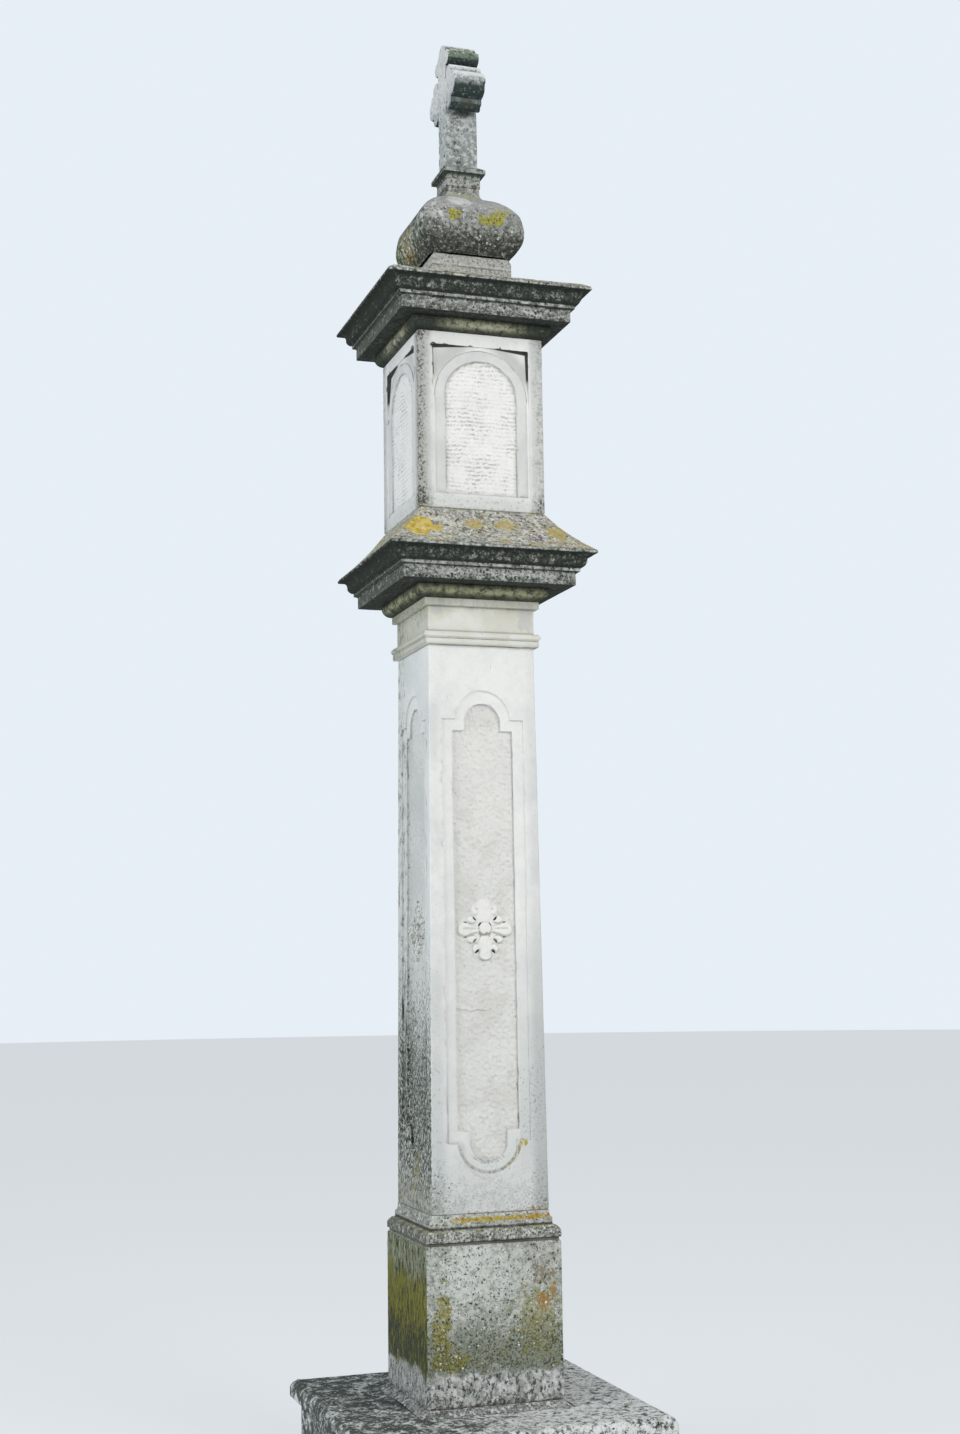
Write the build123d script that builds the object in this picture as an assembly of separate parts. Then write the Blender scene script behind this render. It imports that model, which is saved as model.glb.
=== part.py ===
"""Wayside shrine: a square stone column about 4.7 m tall, built up in courses.

A nosed slab carries a plain die, a moulded base and a slender shaft with a sunk
panel and a rosette on each face. A cornice with a sloping top carries the block
with four arched panels, then a second cornice, an onion-shaped finial and a
cross with trefoil ends. Millimetres, +Z up, origin on the ground under the axis.
"""
from build123d import *
import os

# Base slab and the plain course under it
RISER_WIDTH = 906.0
RISER_HEIGHT = 210.0
SLAB_WIDTH = 970.0
SLAB_HEIGHT = 60.0
NOSING_RADIUS = 27.0

# Mortar bed that spreads round the foot of the die
BED_SPREAD = 26.0
BED_HEIGHT = 18.0
BED_LIP = 5.0

# Die and the narrow joint above it
DIE_WIDTH = 440.0
DIE_HEIGHT = 476.0
JOINT_HEIGHT = 8.0
JOINT_INSET = 6.0

# Moulded base of the shaft
ROLL_SIDE_HEIGHT = 13.0
ROLL_HEIGHT = 38.0
ROLL_LEDGE = 2.0
BASE_FILLET_WIDTH = 397.0
BASE_FILLET_HEIGHT = 20.0
COVE_HEIGHT = 22.0

# Shaft, which tapers towards its head
SHAFT_FOOT_WIDTH = 382.0
SHAFT_HEAD_WIDTH = 356.0
SHAFT_HEIGHT = 1770.0

# Sunk panel on each face of the shaft, with a half-round end at head and foot
PANEL_WIDTH = 272.0
PANEL_FOOT_GAP = 214.0
PANEL_LENGTH = 1317.0
PANEL_SINK = 7.0
PANEL_END_DIAMETER = 182.0
PANEL_HEAD_STILT = 1.0
PANEL_FOOT_STILT = 20.0

# Rough field inside the smooth band of the panel
FIELD_BAND = 36.0
FIELD_SINK = 9.0
FIELD_END_DIAMETER = 120.0
FIELD_HEAD_STILT = 27.0
FIELD_FOOT_STILT = 36.0

# Rosette in the middle of each field
ROSETTE_DIAMETER = 188.0
LEAF_THICKNESS = 26.0
LEAF_ROOT_THICKNESS = 14.0
RIB_WIDTH = 8.0
RIB_TIP_GAP = 20.0
BOSS_DIAMETER = 46.0
BOSS_HEIGHT = 36.0
BOSS_SLOPE = 5.0
BOSS_COLLAR_LEVEL = 27.0

# Ring moulding, plain neck and its upper fillet
ASTRAGAL_FILLET_WIDTH = 380.0
ASTRAGAL_FILLET_HEIGHT = 18.0
BEAD_WIDTH = 376.0
BEAD_HEIGHT = 24.0
BEAD_SWELL = 8.0
NECK_WIDTH = 358.0
NECK_HEIGHT = 82.0
NECK_FILLET_WIDTH = 386.0
NECK_FILLET_HEIGHT = 24.0

# Both cornices share one set of mouldings
OVOLO_PROJECTION = 23.0
OVOLO_HEIGHT = 35.0
OVOLO_FILLET = 7.0
CORONA_WIDTH = 574.0
CORONA_HEIGHT = 30.0
CORONA_ROUND_PROJECTION = 5.0
CORONA_ROUND_HEIGHT = 13.0
CORONA_FILLET_PROJECTION = 7.0
CORONA_FILLET_HEIGHT = 11.0
CYMA_PROJECTION = 36.0
CYMA_HEIGHT = 42.0
CORNICE_WIDTH = 688.0
CORNICE_FILLET_HEIGHT = 11.0
LOWER_OVOLO_STEP = 5.0

# Sloping top of the lower cornice
LOWER_SLOPE_HEIGHT = 139.0
LOWER_SLOPE_HOLLOW = 0.04

# Block with arched panels
BLOCK_WIDTH = 426.0
BLOCK_HEIGHT = 586.0
FRAME_OPENING_WIDTH = 325.0
FRAME_FOOT_GAP = 50.0
FRAME_HEAD_GAP = 45.0
BAND_SINK = 3.0
SPANDREL_SINK = 15.0
ARCH_RADIUS = 157.0
ARCH_CROWN_GAP = 12.0
NICHE_RADIUS = 121.0
NICHE_SINK = 9.0

# Top of the upper cornice
EDGE_CHAMFER_WIDTH = 20.0
EDGE_CHAMFER_HEIGHT = 14.0
UPPER_SLOPE_HEIGHT = 52.0

# Finial: plinth, square onion and neck
PLINTH_WIDTH = 276.0
PLINTH_HEIGHT = 66.0
PLINTH_SPLAY = 9.0
PLINTH_SPLAY_HEIGHT = 17.0
ONION_WIDTH = 366.0
ONION_BELLY_HEIGHT = 92.0
ONION_SHOULDER_HEIGHT = 183.0
ONION_HEIGHT = 267.0
ONION_HIP_REACH = 1.3
FINIAL_NECK_WIDTH = 117.0
FINIAL_NECK_HEIGHT = 28.0

# Small cap under the cross
CAP_WIDTH = 148.0
CAP_COVE_PROJECTION = 11.0
CAP_COVE_HEIGHT = 18.0
CAP_EDGE_HEIGHT = 15.0
CAP_SLOPE_HEIGHT = 13.0

# Cross with trefoil ends, its arms running front to back
CROSS_THICKNESS = 112.0
CROSS_BAR_WIDTH = 86.0
CROSS_SPAN = 290.0
CROSS_STEM_LENGTH = 269.0
CROSS_HEAD_LENGTH = 179.0
END_LOBE_DIAMETER = 90.0
SIDE_LOBE_DIAMETER = 52.0
ARM_LOBE_SETBACK = 71.0
HEAD_LOBE_SETBACK = 62.0
SIDE_LOBE_OFFSET = 52.0

# Levels of the courses, each standing on the one below
SLAB_FOOT = RISER_HEIGHT
BED_FOOT = SLAB_FOOT + SLAB_HEIGHT
DIE_FOOT = BED_FOOT + BED_HEIGHT
JOINT_FOOT = DIE_FOOT + DIE_HEIGHT
TORUS_FOOT = JOINT_FOOT + JOINT_HEIGHT
COVE_FOOT = TORUS_FOOT + ROLL_HEIGHT
SHAFT_FOOT = COVE_FOOT + BASE_FILLET_HEIGHT + COVE_HEIGHT
ASTRAGAL_FOOT = SHAFT_FOOT + SHAFT_HEIGHT
NECK_FOOT = ASTRAGAL_FOOT + ASTRAGAL_FILLET_HEIGHT + BEAD_HEIGHT
NECK_FILLET_FOOT = NECK_FOOT + NECK_HEIGHT
LOWER_OVOLO_FOOT = NECK_FILLET_FOOT + NECK_FILLET_HEIGHT
OVOLO_COURSE = OVOLO_HEIGHT + OVOLO_FILLET
CORONA_COURSE = CORONA_HEIGHT + CORONA_ROUND_HEIGHT + CORONA_FILLET_HEIGHT
CYMA_COURSE = CYMA_HEIGHT + CORNICE_FILLET_HEIGHT
LOWER_CORONA_FOOT = LOWER_OVOLO_FOOT + OVOLO_COURSE
LOWER_CYMA_FOOT = LOWER_CORONA_FOOT + CORONA_COURSE
LOWER_SLOPE_FOOT = LOWER_CYMA_FOOT + CYMA_COURSE
BLOCK_FOOT = LOWER_SLOPE_FOOT + LOWER_SLOPE_HEIGHT
UPPER_OVOLO_FOOT = BLOCK_FOOT + BLOCK_HEIGHT
UPPER_CORONA_FOOT = UPPER_OVOLO_FOOT + OVOLO_COURSE
UPPER_CYMA_FOOT = UPPER_CORONA_FOOT + CORONA_COURSE
UPPER_SLOPE_FOOT = UPPER_CYMA_FOOT + CYMA_COURSE
PLINTH_FOOT = UPPER_SLOPE_FOOT + EDGE_CHAMFER_HEIGHT + UPPER_SLOPE_HEIGHT
ONION_FOOT = PLINTH_FOOT + PLINTH_HEIGHT + PLINTH_SPLAY_HEIGHT
FINIAL_NECK_FOOT = ONION_FOOT + ONION_HEIGHT
CAP_FOOT = FINIAL_NECK_FOOT + FINIAL_NECK_HEIGHT
CROSS_FOOT = CAP_FOOT + CAP_COVE_HEIGHT + CAP_EDGE_HEIGHT + CAP_SLOPE_HEIGHT

FACE_TURNS = {"front": 0, "right": 90, "back": 180, "left": 270}


def bow(start, end, share):
    """Arc between two points whose rise is a share of its chord."""
    chord = (Vector(*end) - Vector(*start)).length
    return SagittaArc(start, end, share * chord)


def square_course(outline):
    """Stone of square plan with mitred corners.

    The outline runs upward along one side, as half-width against height. The
    section is drawn across both directions and the two runs are intersected.
    """
    foot = outline[0] @ 0
    head = outline[-1] @ 1
    axis_foot = (0, foot.Y)
    axis_head = (0, head.Y)
    closing = [Line(head, axis_head), Line(axis_head, axis_foot), Line(axis_foot, foot)]
    half = make_face(Curve() + outline + closing)
    section = half + mirror(half, about=Plane.YZ)
    reach = section.bounding_box().max.X
    across = extrude(Plane.XZ * section, amount=reach, both=True)
    return across & (Rot(0, 0, 90) * across)


def plain_course(width, foot, height):
    """Straight-sided square stone."""
    return square_course([Line((width / 2, foot), (width / 2, foot + height))])


def on_each_face(stone, cutter):
    """Cut the same recess into all four faces."""
    for turn in FACE_TURNS.values():
        stone -= Rot(0, 0, turn) * cutter
    return stone


def front_plane(foot_half, foot, head_half, head, sink):
    """Plane at a depth under the front face of a stone, with its origin at the foot.

    The face may lean in towards the head. The plane's own upright runs up the face.
    """
    lean = (foot_half - head_half) / (head - foot)
    return Plane((0, sink - foot_half, foot), x_dir=(1, 0, 0), z_dir=(0, -1, lean))


def recess(outline, floor, sink):
    """Recess of the given outline over its floor, cut right out through the face."""
    return extrude(floor * outline, amount=2 * sink)


def base_slab():
    """Slab whose upper edge is rounded to a nosing."""
    half = SLAB_WIDTH / 2
    top = SLAB_FOOT + SLAB_HEIGHT
    turn = top - NOSING_RADIUS
    side = Line((half, SLAB_FOOT), (half, turn))
    nosing = RadiusArc((half, turn), (half - NOSING_RADIUS, top), -NOSING_RADIUS)
    return square_course([side, nosing])


def mortar_bed():
    """Sloped collar of mortar that the die stands on."""
    head = DIE_WIDTH / 2 + BED_LIP
    slope = bow((head + BED_SPREAD, BED_FOOT), (head, DIE_FOOT), 0.12)
    return square_course([slope])


def torus():
    """Roll over the joint of the die, upright below and rounded in to a narrow ledge."""
    half = DIE_WIDTH / 2
    side_top = TORUS_FOOT + ROLL_SIDE_HEIGHT
    ledge_half = BASE_FILLET_WIDTH / 2 + ROLL_LEDGE
    side = Line((half, TORUS_FOOT), (half, side_top))
    return square_course([side, bow((half, side_top), (ledge_half, COVE_FOOT), -0.2)])


def base_cove():
    """Fillet and hollow that lead from the roll into the shaft."""
    fillet_half = BASE_FILLET_WIDTH / 2
    fillet_top = COVE_FOOT + BASE_FILLET_HEIGHT
    fillet = Line((fillet_half, COVE_FOOT), (fillet_half, fillet_top))
    cove = bow((fillet_half, fillet_top), (SHAFT_FOOT_WIDTH / 2, SHAFT_FOOT), 0.1)
    return square_course([fillet, cove])


def round_ended(width, foot, length, end_diameter, head_stilt, foot_stilt):
    """Upright rectangle with a narrower stilted half-round at each end."""
    radius = end_diameter / 2
    shoulder_foot = foot + radius + foot_stilt
    shoulder_head = foot + length - radius - head_stilt
    body = Pos(0, (shoulder_foot + shoulder_head) / 2) * Rectangle(
        width, shoulder_head - shoulder_foot)
    tongue = Pos(0, foot + length / 2) * Rectangle(end_diameter, length - end_diameter)
    ends = [Pos(0, foot + radius) * Circle(radius), Pos(0, foot + length - radius) * Circle(radius)]
    return body + tongue + ends


def shaft_plane(sink):
    """Plane at a depth under the leaning front face of the shaft."""
    return front_plane(SHAFT_FOOT_WIDTH / 2, SHAFT_FOOT, SHAFT_HEAD_WIDTH / 2, ASTRAGAL_FOOT, sink)


def shaft():
    """Tapered shaft with a smooth sunk band and a deeper field on each face."""
    panel_foot = PANEL_FOOT_GAP - PANEL_END_DIAMETER / 2 - PANEL_FOOT_STILT
    panel_length = PANEL_LENGTH + PANEL_END_DIAMETER + PANEL_HEAD_STILT + PANEL_FOOT_STILT
    panel = round_ended(PANEL_WIDTH, panel_foot, panel_length, PANEL_END_DIAMETER,
                        PANEL_HEAD_STILT, PANEL_FOOT_STILT)
    shoulder_foot = PANEL_FOOT_GAP + FIELD_BAND
    field_foot = shoulder_foot - FIELD_END_DIAMETER / 2 - FIELD_FOOT_STILT
    field_length = (PANEL_LENGTH - 2 * FIELD_BAND + FIELD_END_DIAMETER
                    + FIELD_HEAD_STILT + FIELD_FOOT_STILT)
    field = round_ended(PANEL_WIDTH - 2 * FIELD_BAND, field_foot, field_length,
                        FIELD_END_DIAMETER, FIELD_HEAD_STILT, FIELD_FOOT_STILT)
    stone = square_course([Line((SHAFT_FOOT_WIDTH / 2, SHAFT_FOOT),
                                (SHAFT_HEAD_WIDTH / 2, ASTRAGAL_FOOT))])
    for outline, sink in ((panel, PANEL_SINK), (field, PANEL_SINK + FIELD_SINK)):
        stone = on_each_face(stone, recess(outline, shaft_plane(sink), sink))
    return stone


def leaf_outline(reach):
    """Leaf of three lobes that points up from the centre of the rosette."""
    root = (0.10 * reach, 0.14 * reach)
    side_foot = (0.36 * reach, 0.42 * reach)
    side_tip = (0.46 * reach, 0.56 * reach)
    notch = (0.22 * reach, 0.62 * reach)
    tip = (0, reach)
    right = [Line((0, 0), root), Line(root, side_foot), Line(side_foot, side_tip),
             bow(side_tip, notch, -0.35), bow(notch, tip, -0.3)]
    half = make_face(Curve() + right + Line(tip, (0, 0)))
    return half + mirror(half, about=Plane.YZ)


def leaf(reach):
    """Leaf whose upper face rises from the root to the tip, with a sharp midrib."""
    rise = Plane((0, 0, LEAF_ROOT_THICKNESS), x_dir=(1, 0, 0),
                 z_dir=(0, LEAF_ROOT_THICKNESS - LEAF_THICKNESS, reach))
    blade = extrude(leaf_outline(reach), amount=LEAF_THICKNESS)
    blade = split(blade, bisect_by=rise, keep=Keep.BOTTOM)
    along = Plane((0, 0, LEAF_ROOT_THICKNESS), x_dir=(1, 0, 0),
                  z_dir=(0, reach, LEAF_THICKNESS - LEAF_ROOT_THICKNESS))
    ridge = Triangle(a=RIB_WIDTH, B=45, C=45, align=(Align.CENTER, Align.MIN))
    rib = extrude(along * ridge, amount=reach - RIB_TIP_GAP)
    return blade + rib


def rosette():
    """Four lobed leaves round a turned boss, standing on the plane z = 0."""
    boss_radius = BOSS_DIAMETER / 2
    collar = (boss_radius - BOSS_SLOPE, BOSS_COLLAR_LEVEL)
    button = make_face(Polyline((0, 0), (boss_radius, 0), collar, (boss_radius / 2, BOSS_HEIGHT),
                                (0, BOSS_HEIGHT), (0, 0)))
    flower = revolve(Plane.XZ * button, axis=Axis.Z)
    for turn in range(4):
        flower += Rot(0, 0, 90 * turn) * leaf(ROSETTE_DIAMETER / 2)
    return flower


def placed_rosette(turn):
    """Rosette seated on the field of the face that lies at the given turn."""
    middle = PANEL_FOOT_GAP + PANEL_LENGTH / 2
    field = shaft_plane(PANEL_SINK + FIELD_SINK)
    return Rot(0, 0, turn) * (field * Pos(0, middle, 0) * rosette())


def astragal():
    """Fillet and half-round bead at the head of the shaft."""
    fillet_half = ASTRAGAL_FILLET_WIDTH / 2
    fillet_top = ASTRAGAL_FOOT + ASTRAGAL_FILLET_HEIGHT
    bead_half = BEAD_WIDTH / 2
    fillet = Line((fillet_half, ASTRAGAL_FOOT), (fillet_half, fillet_top))
    step = Line((fillet_half, fillet_top), (bead_half, fillet_top))
    bead = bow((bead_half, fillet_top), (bead_half, NECK_FOOT), -BEAD_SWELL / BEAD_HEIGHT)
    return square_course([fillet, step, bead])


def ovolo(foot_half, foot):
    """Quarter-round under a cornice, ended by a narrow fillet."""
    head_half = foot_half + OVOLO_PROJECTION
    turn = foot + OVOLO_HEIGHT
    swell = bow((foot_half, foot), (head_half, turn), -0.2)
    fillet = Line((head_half, turn), (head_half, turn + OVOLO_FILLET))
    return square_course([swell, fillet])


CORONA_HEAD_HALF = CORONA_WIDTH / 2 + CORONA_ROUND_PROJECTION + CORONA_FILLET_PROJECTION


def corona(foot):
    """Drip stone of a cornice with a small rounded and stepped top."""
    half = CORONA_WIDTH / 2
    round_half = half + CORONA_ROUND_PROJECTION
    face_top = foot + CORONA_HEIGHT
    round_top = face_top + CORONA_ROUND_HEIGHT
    fillet_top = round_top + CORONA_FILLET_HEIGHT
    face = Line((half, foot), (half, face_top))
    swell = bow((half, face_top), (round_half, round_top), 0.15)
    step = Line((round_half, round_top), (CORONA_HEAD_HALF, round_top))
    fillet = Line((CORONA_HEAD_HALF, round_top), (CORONA_HEAD_HALF, fillet_top))
    return square_course([face, swell, step, fillet])


def cyma(foot):
    """Double curve, convex below and hollow above, under the top fillet."""
    foot_half = CORONA_HEAD_HALF
    head_half = foot_half + CYMA_PROJECTION
    middle_half = (foot_half + head_half) / 2
    middle = foot + CYMA_HEIGHT / 2
    top = foot + CYMA_HEIGHT
    edge_half = CORNICE_WIDTH / 2
    swell = bow((foot_half, foot), (middle_half, middle), -0.2)
    hollow = bow((middle_half, middle), (head_half, top), 0.2)
    step = Line((head_half, top), (edge_half, top))
    edge = Line((edge_half, top), (edge_half, top + CORNICE_FILLET_HEIGHT))
    return square_course([swell, hollow, step, edge])


def lower_weathering():
    """Sloping, slightly hollow top of the lower cornice."""
    slope = bow((CORNICE_WIDTH / 2, LOWER_SLOPE_FOOT), (BLOCK_WIDTH / 2, BLOCK_FOOT),
                LOWER_SLOPE_HOLLOW)
    return square_course([slope])


def panel_block():
    """Block with an arched niche between sunk spandrels on each face."""
    half = BLOCK_WIDTH / 2
    frame_foot = FRAME_FOOT_GAP
    frame_head = BLOCK_HEIGHT - FRAME_HEAD_GAP
    springing = frame_head - ARCH_CROWN_GAP - ARCH_RADIUS
    opening = Pos(0, (frame_foot + frame_head) / 2) * Rectangle(
        FRAME_OPENING_WIDTH, frame_head - frame_foot)
    upper = Pos(0, (springing + frame_head) / 2) * Rectangle(
        FRAME_OPENING_WIDTH, frame_head - springing)
    spandrels = upper - Pos(0, springing) * Circle(ARCH_RADIUS)
    niche = Pos(0, (frame_foot + springing) / 2) * Rectangle(
        2 * NICHE_RADIUS, springing - frame_foot) + Pos(0, springing) * Circle(NICHE_RADIUS)
    stone = plain_course(BLOCK_WIDTH, BLOCK_FOOT, BLOCK_HEIGHT)
    for outline, sink in ((opening, BAND_SINK), (spandrels, SPANDREL_SINK), (niche, NICHE_SINK)):
        floor = front_plane(half, BLOCK_FOOT, half, UPPER_OVOLO_FOOT, sink)
        stone = on_each_face(stone, recess(outline, floor, sink))
    return stone


def upper_weathering():
    """Bevelled edge and shallow slope above the upper cornice."""
    edge_half = CORNICE_WIDTH / 2
    inner_half = edge_half - EDGE_CHAMFER_WIDTH
    bevel_top = UPPER_SLOPE_FOOT + EDGE_CHAMFER_HEIGHT
    bevel = Line((edge_half, UPPER_SLOPE_FOOT), (inner_half, bevel_top))
    slope = Line((inner_half, bevel_top), (PLINTH_WIDTH / 2, PLINTH_FOOT))
    return square_course([bevel, slope])


def finial_plinth():
    """Low plinth splayed in to the foot of the onion."""
    half = PLINTH_WIDTH / 2
    top = PLINTH_FOOT + PLINTH_HEIGHT
    side = Line((half, PLINTH_FOOT), (half, top))
    splay = Line((half, top), (half - PLINTH_SPLAY, ONION_FOOT))
    return square_course([side, splay])


def onion_course(spread):
    """Square onion, a full belly that sweeps up into the neck, spread sideways by a factor."""
    foot_half = spread * (PLINTH_WIDTH / 2 - PLINTH_SPLAY)
    belly = (spread * ONION_WIDTH / 2, ONION_FOOT + ONION_BELLY_HEIGHT)
    shoulder = (foot_half, ONION_FOOT + ONION_SHOULDER_HEIGHT)
    head = (spread * FINIAL_NECK_WIDTH / 2, FINIAL_NECK_FOOT)
    swell = ThreePointArc((foot_half, ONION_FOOT), belly, shoulder)
    sweep_up = TangentArc(shoulder, head, tangent=swell % 1)
    return square_course([swell, sweep_up])


def onion():
    """Onion whose four hips are bevelled by a wider onion turned by 45 degrees."""
    return onion_course(1) & (Rot(0, 0, 45) * onion_course(ONION_HIP_REACH))


def cap():
    """Small hollow-moulded cap with a sloping top under the cross."""
    neck_half = FINIAL_NECK_WIDTH / 2
    edge_half = CAP_WIDTH / 2
    edge_foot = CAP_FOOT + CAP_COVE_HEIGHT
    edge_top = edge_foot + CAP_EDGE_HEIGHT
    cove_half = neck_half + CAP_COVE_PROJECTION
    cove = bow((neck_half, CAP_FOOT), (cove_half, edge_foot), 0.2)
    step = Line((cove_half, edge_foot), (edge_half, edge_foot))
    edge = Line((edge_half, edge_foot), (edge_half, edge_top))
    slope = Line((edge_half, edge_top), (CROSS_THICKNESS / 2, CROSS_FOOT))
    return square_course([cove, step, edge, slope])


def trefoil_arm(length, setback):
    """Bar that points up and ends in one end lobe and two side lobes set back from its tip."""
    end_radius = END_LOBE_DIAMETER / 2
    bar_length = length - end_radius
    bar = Pos(0, bar_length / 2) * Rectangle(CROSS_BAR_WIDTH, bar_length)
    end_lobe = Pos(0, bar_length) * Circle(end_radius)
    side_lobe = Circle(SIDE_LOBE_DIAMETER / 2)
    side_level = length - setback
    side_lobes = [Pos(side * SIDE_LOBE_OFFSET, side_level) * side_lobe for side in (-1, 1)]
    return bar + end_lobe + side_lobes


def cross():
    """Stem, head and two arms in one plane that runs front to back."""
    centre = CROSS_FOOT + CROSS_STEM_LENGTH
    stem = Pos(0, -CROSS_STEM_LENGTH / 2) * Rectangle(CROSS_BAR_WIDTH, CROSS_STEM_LENGTH)
    outline = stem + trefoil_arm(CROSS_HEAD_LENGTH, HEAD_LOBE_SETBACK)
    for side in (-90, 90):
        outline += Rot(0, 0, side) * trefoil_arm(CROSS_SPAN / 2, ARM_LOBE_SETBACK)
    middle = Plane((0, 0, centre), x_dir=(0, 1, 0), z_dir=(1, 0, 0))
    return extrude(middle * outline, amount=CROSS_THICKNESS / 2, both=True)


def courses():
    """All stones by name, from the ground up."""
    stones = {
        "base_riser": plain_course(RISER_WIDTH, 0, RISER_HEIGHT),
        "base_slab": base_slab(),
        "mortar_bed": mortar_bed(),
        "die": plain_course(DIE_WIDTH, DIE_FOOT, DIE_HEIGHT),
        "die_joint": plain_course(DIE_WIDTH - 2 * JOINT_INSET, JOINT_FOOT, JOINT_HEIGHT),
        "base_torus": torus(),
        "base_cove": base_cove(),
        "shaft": shaft(),
    }
    for face, turn in FACE_TURNS.items():
        stones["rosette_" + face] = placed_rosette(turn)
    lower_half = NECK_FILLET_WIDTH / 2 + LOWER_OVOLO_STEP
    stones |= {
        "astragal": astragal(),
        "neck": plain_course(NECK_WIDTH, NECK_FOOT, NECK_HEIGHT),
        "neck_fillet": plain_course(NECK_FILLET_WIDTH, NECK_FILLET_FOOT, NECK_FILLET_HEIGHT),
        "lower_ovolo": ovolo(lower_half, LOWER_OVOLO_FOOT),
        "lower_corona": corona(LOWER_CORONA_FOOT),
        "lower_cyma": cyma(LOWER_CYMA_FOOT),
        "lower_weathering": lower_weathering(),
        "panel_block": panel_block(),
        "upper_ovolo": ovolo(BLOCK_WIDTH / 2, UPPER_OVOLO_FOOT),
        "upper_corona": corona(UPPER_CORONA_FOOT),
        "upper_cyma": cyma(UPPER_CYMA_FOOT),
        "upper_weathering": upper_weathering(),
        "finial_plinth": finial_plinth(),
        "finial_onion": onion(),
        "finial_neck": plain_course(FINIAL_NECK_WIDTH, FINIAL_NECK_FOOT, FINIAL_NECK_HEIGHT),
        "finial_cap": cap(),
        "cross": cross(),
    }
    return stones


os.makedirs("parts", exist_ok=True)
for name, stone in courses().items():
    export_step(stone, f"parts/{name}.step")
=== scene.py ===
import functools
import math

import bmesh
import bpy
from mathutils import Matrix, Vector, noise


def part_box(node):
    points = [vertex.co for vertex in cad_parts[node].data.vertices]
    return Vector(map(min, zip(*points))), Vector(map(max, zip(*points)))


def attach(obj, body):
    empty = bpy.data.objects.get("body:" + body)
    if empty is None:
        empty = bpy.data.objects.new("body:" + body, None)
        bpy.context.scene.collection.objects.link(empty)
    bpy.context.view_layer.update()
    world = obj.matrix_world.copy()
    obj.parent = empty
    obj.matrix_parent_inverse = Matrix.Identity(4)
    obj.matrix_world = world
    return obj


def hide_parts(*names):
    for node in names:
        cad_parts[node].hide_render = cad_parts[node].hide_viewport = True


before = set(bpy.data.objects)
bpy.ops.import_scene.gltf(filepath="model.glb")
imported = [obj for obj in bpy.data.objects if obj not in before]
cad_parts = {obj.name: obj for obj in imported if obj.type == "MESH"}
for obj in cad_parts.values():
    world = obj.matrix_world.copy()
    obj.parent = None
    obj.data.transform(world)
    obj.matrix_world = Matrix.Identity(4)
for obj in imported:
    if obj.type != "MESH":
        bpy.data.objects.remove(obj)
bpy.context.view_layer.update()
scene = bpy.context.scene
scene.view_settings.view_transform = "Standard"

# Camera: it stands at eye height in front of the column, a little to the left of its front
# face, and looks slightly up, so that the front and left faces show.
eye = Vector((-1.893, -5.864, 1.603))
heading = math.radians(18.335)
pitch = math.radians(7.498)
roll = math.radians(-0.826)
level_ahead = Vector((math.sin(heading), math.cos(heading), 0))
ahead = level_ahead * math.cos(pitch) + Vector((0, 0, math.sin(pitch)))
level_right = Vector((math.cos(heading), -math.sin(heading), 0))
level_up = level_right.cross(ahead)
image_right = level_right * math.cos(roll) + level_up * math.sin(roll)
image_up = level_up * math.cos(roll) - level_right * math.sin(roll)
camera_data = bpy.data.cameras.new("camera")
camera_data.sensor_width = 36
camera_data.lens = 47.62
camera = bpy.data.objects.new("camera", camera_data)
camera.matrix_world = Matrix((image_right, image_up, -ahead)).transposed().to_4x4()
camera.matrix_world.translation = eye
scene.collection.objects.link(camera)
scene.camera = camera


class Wire:
    """A value in a finish, so that masks are written as sums and products."""

    def __init__(self, finish, socket):
        self.finish = finish
        self.socket = socket

    def math(self, operation, first, second):
        return self.finish.node("ShaderNodeMath", {"operation": operation}, {0: first, 1: second})

    def __add__(self, other):
        return self.math("ADD", self, other)

    __radd__ = __add__

    def __sub__(self, other):
        return self.math("SUBTRACT", self, other)

    def __rsub__(self, other):
        return self.math("SUBTRACT", other, self)

    def __mul__(self, other):
        return self.math("MULTIPLY", self, other)

    __rmul__ = __mul__

    def most(self, other):
        """The larger of two values."""
        return self.math("MAXIMUM", self, other)

    def least(self, other):
        """The smaller of two values."""
        return self.math("MINIMUM", self, other)

    def size(self):
        """The value without its sign."""
        return self.math("ABSOLUTE", self, 0.0)

    def part(self):
        """What is left of the value over the whole number below it."""
        return self.math("FRACT", self, 0.0)

    def rise(self, start, end):
        """Smooth step from 0 at start to 1 at end, which may be the lower of the two."""
        settings = {"interpolation_type": "SMOOTHSTEP"}
        return self.finish.node("ShaderNodeMapRange", settings,
                                {"Value": self, "From Min": start, "From Max": end})

    def belt(self, start, full, last, end):
        """Soft-edged belt: 0 up to start, 1 from full to last, and 0 from end on."""
        return self.rise(start, full) * self.rise(end, last)

    def near(self, middle, inside, outside):
        """Soft line: 1 up to the inside distance from its middle and 0 from the outside one on."""
        return (self - middle).size().rise(outside, inside)


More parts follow.
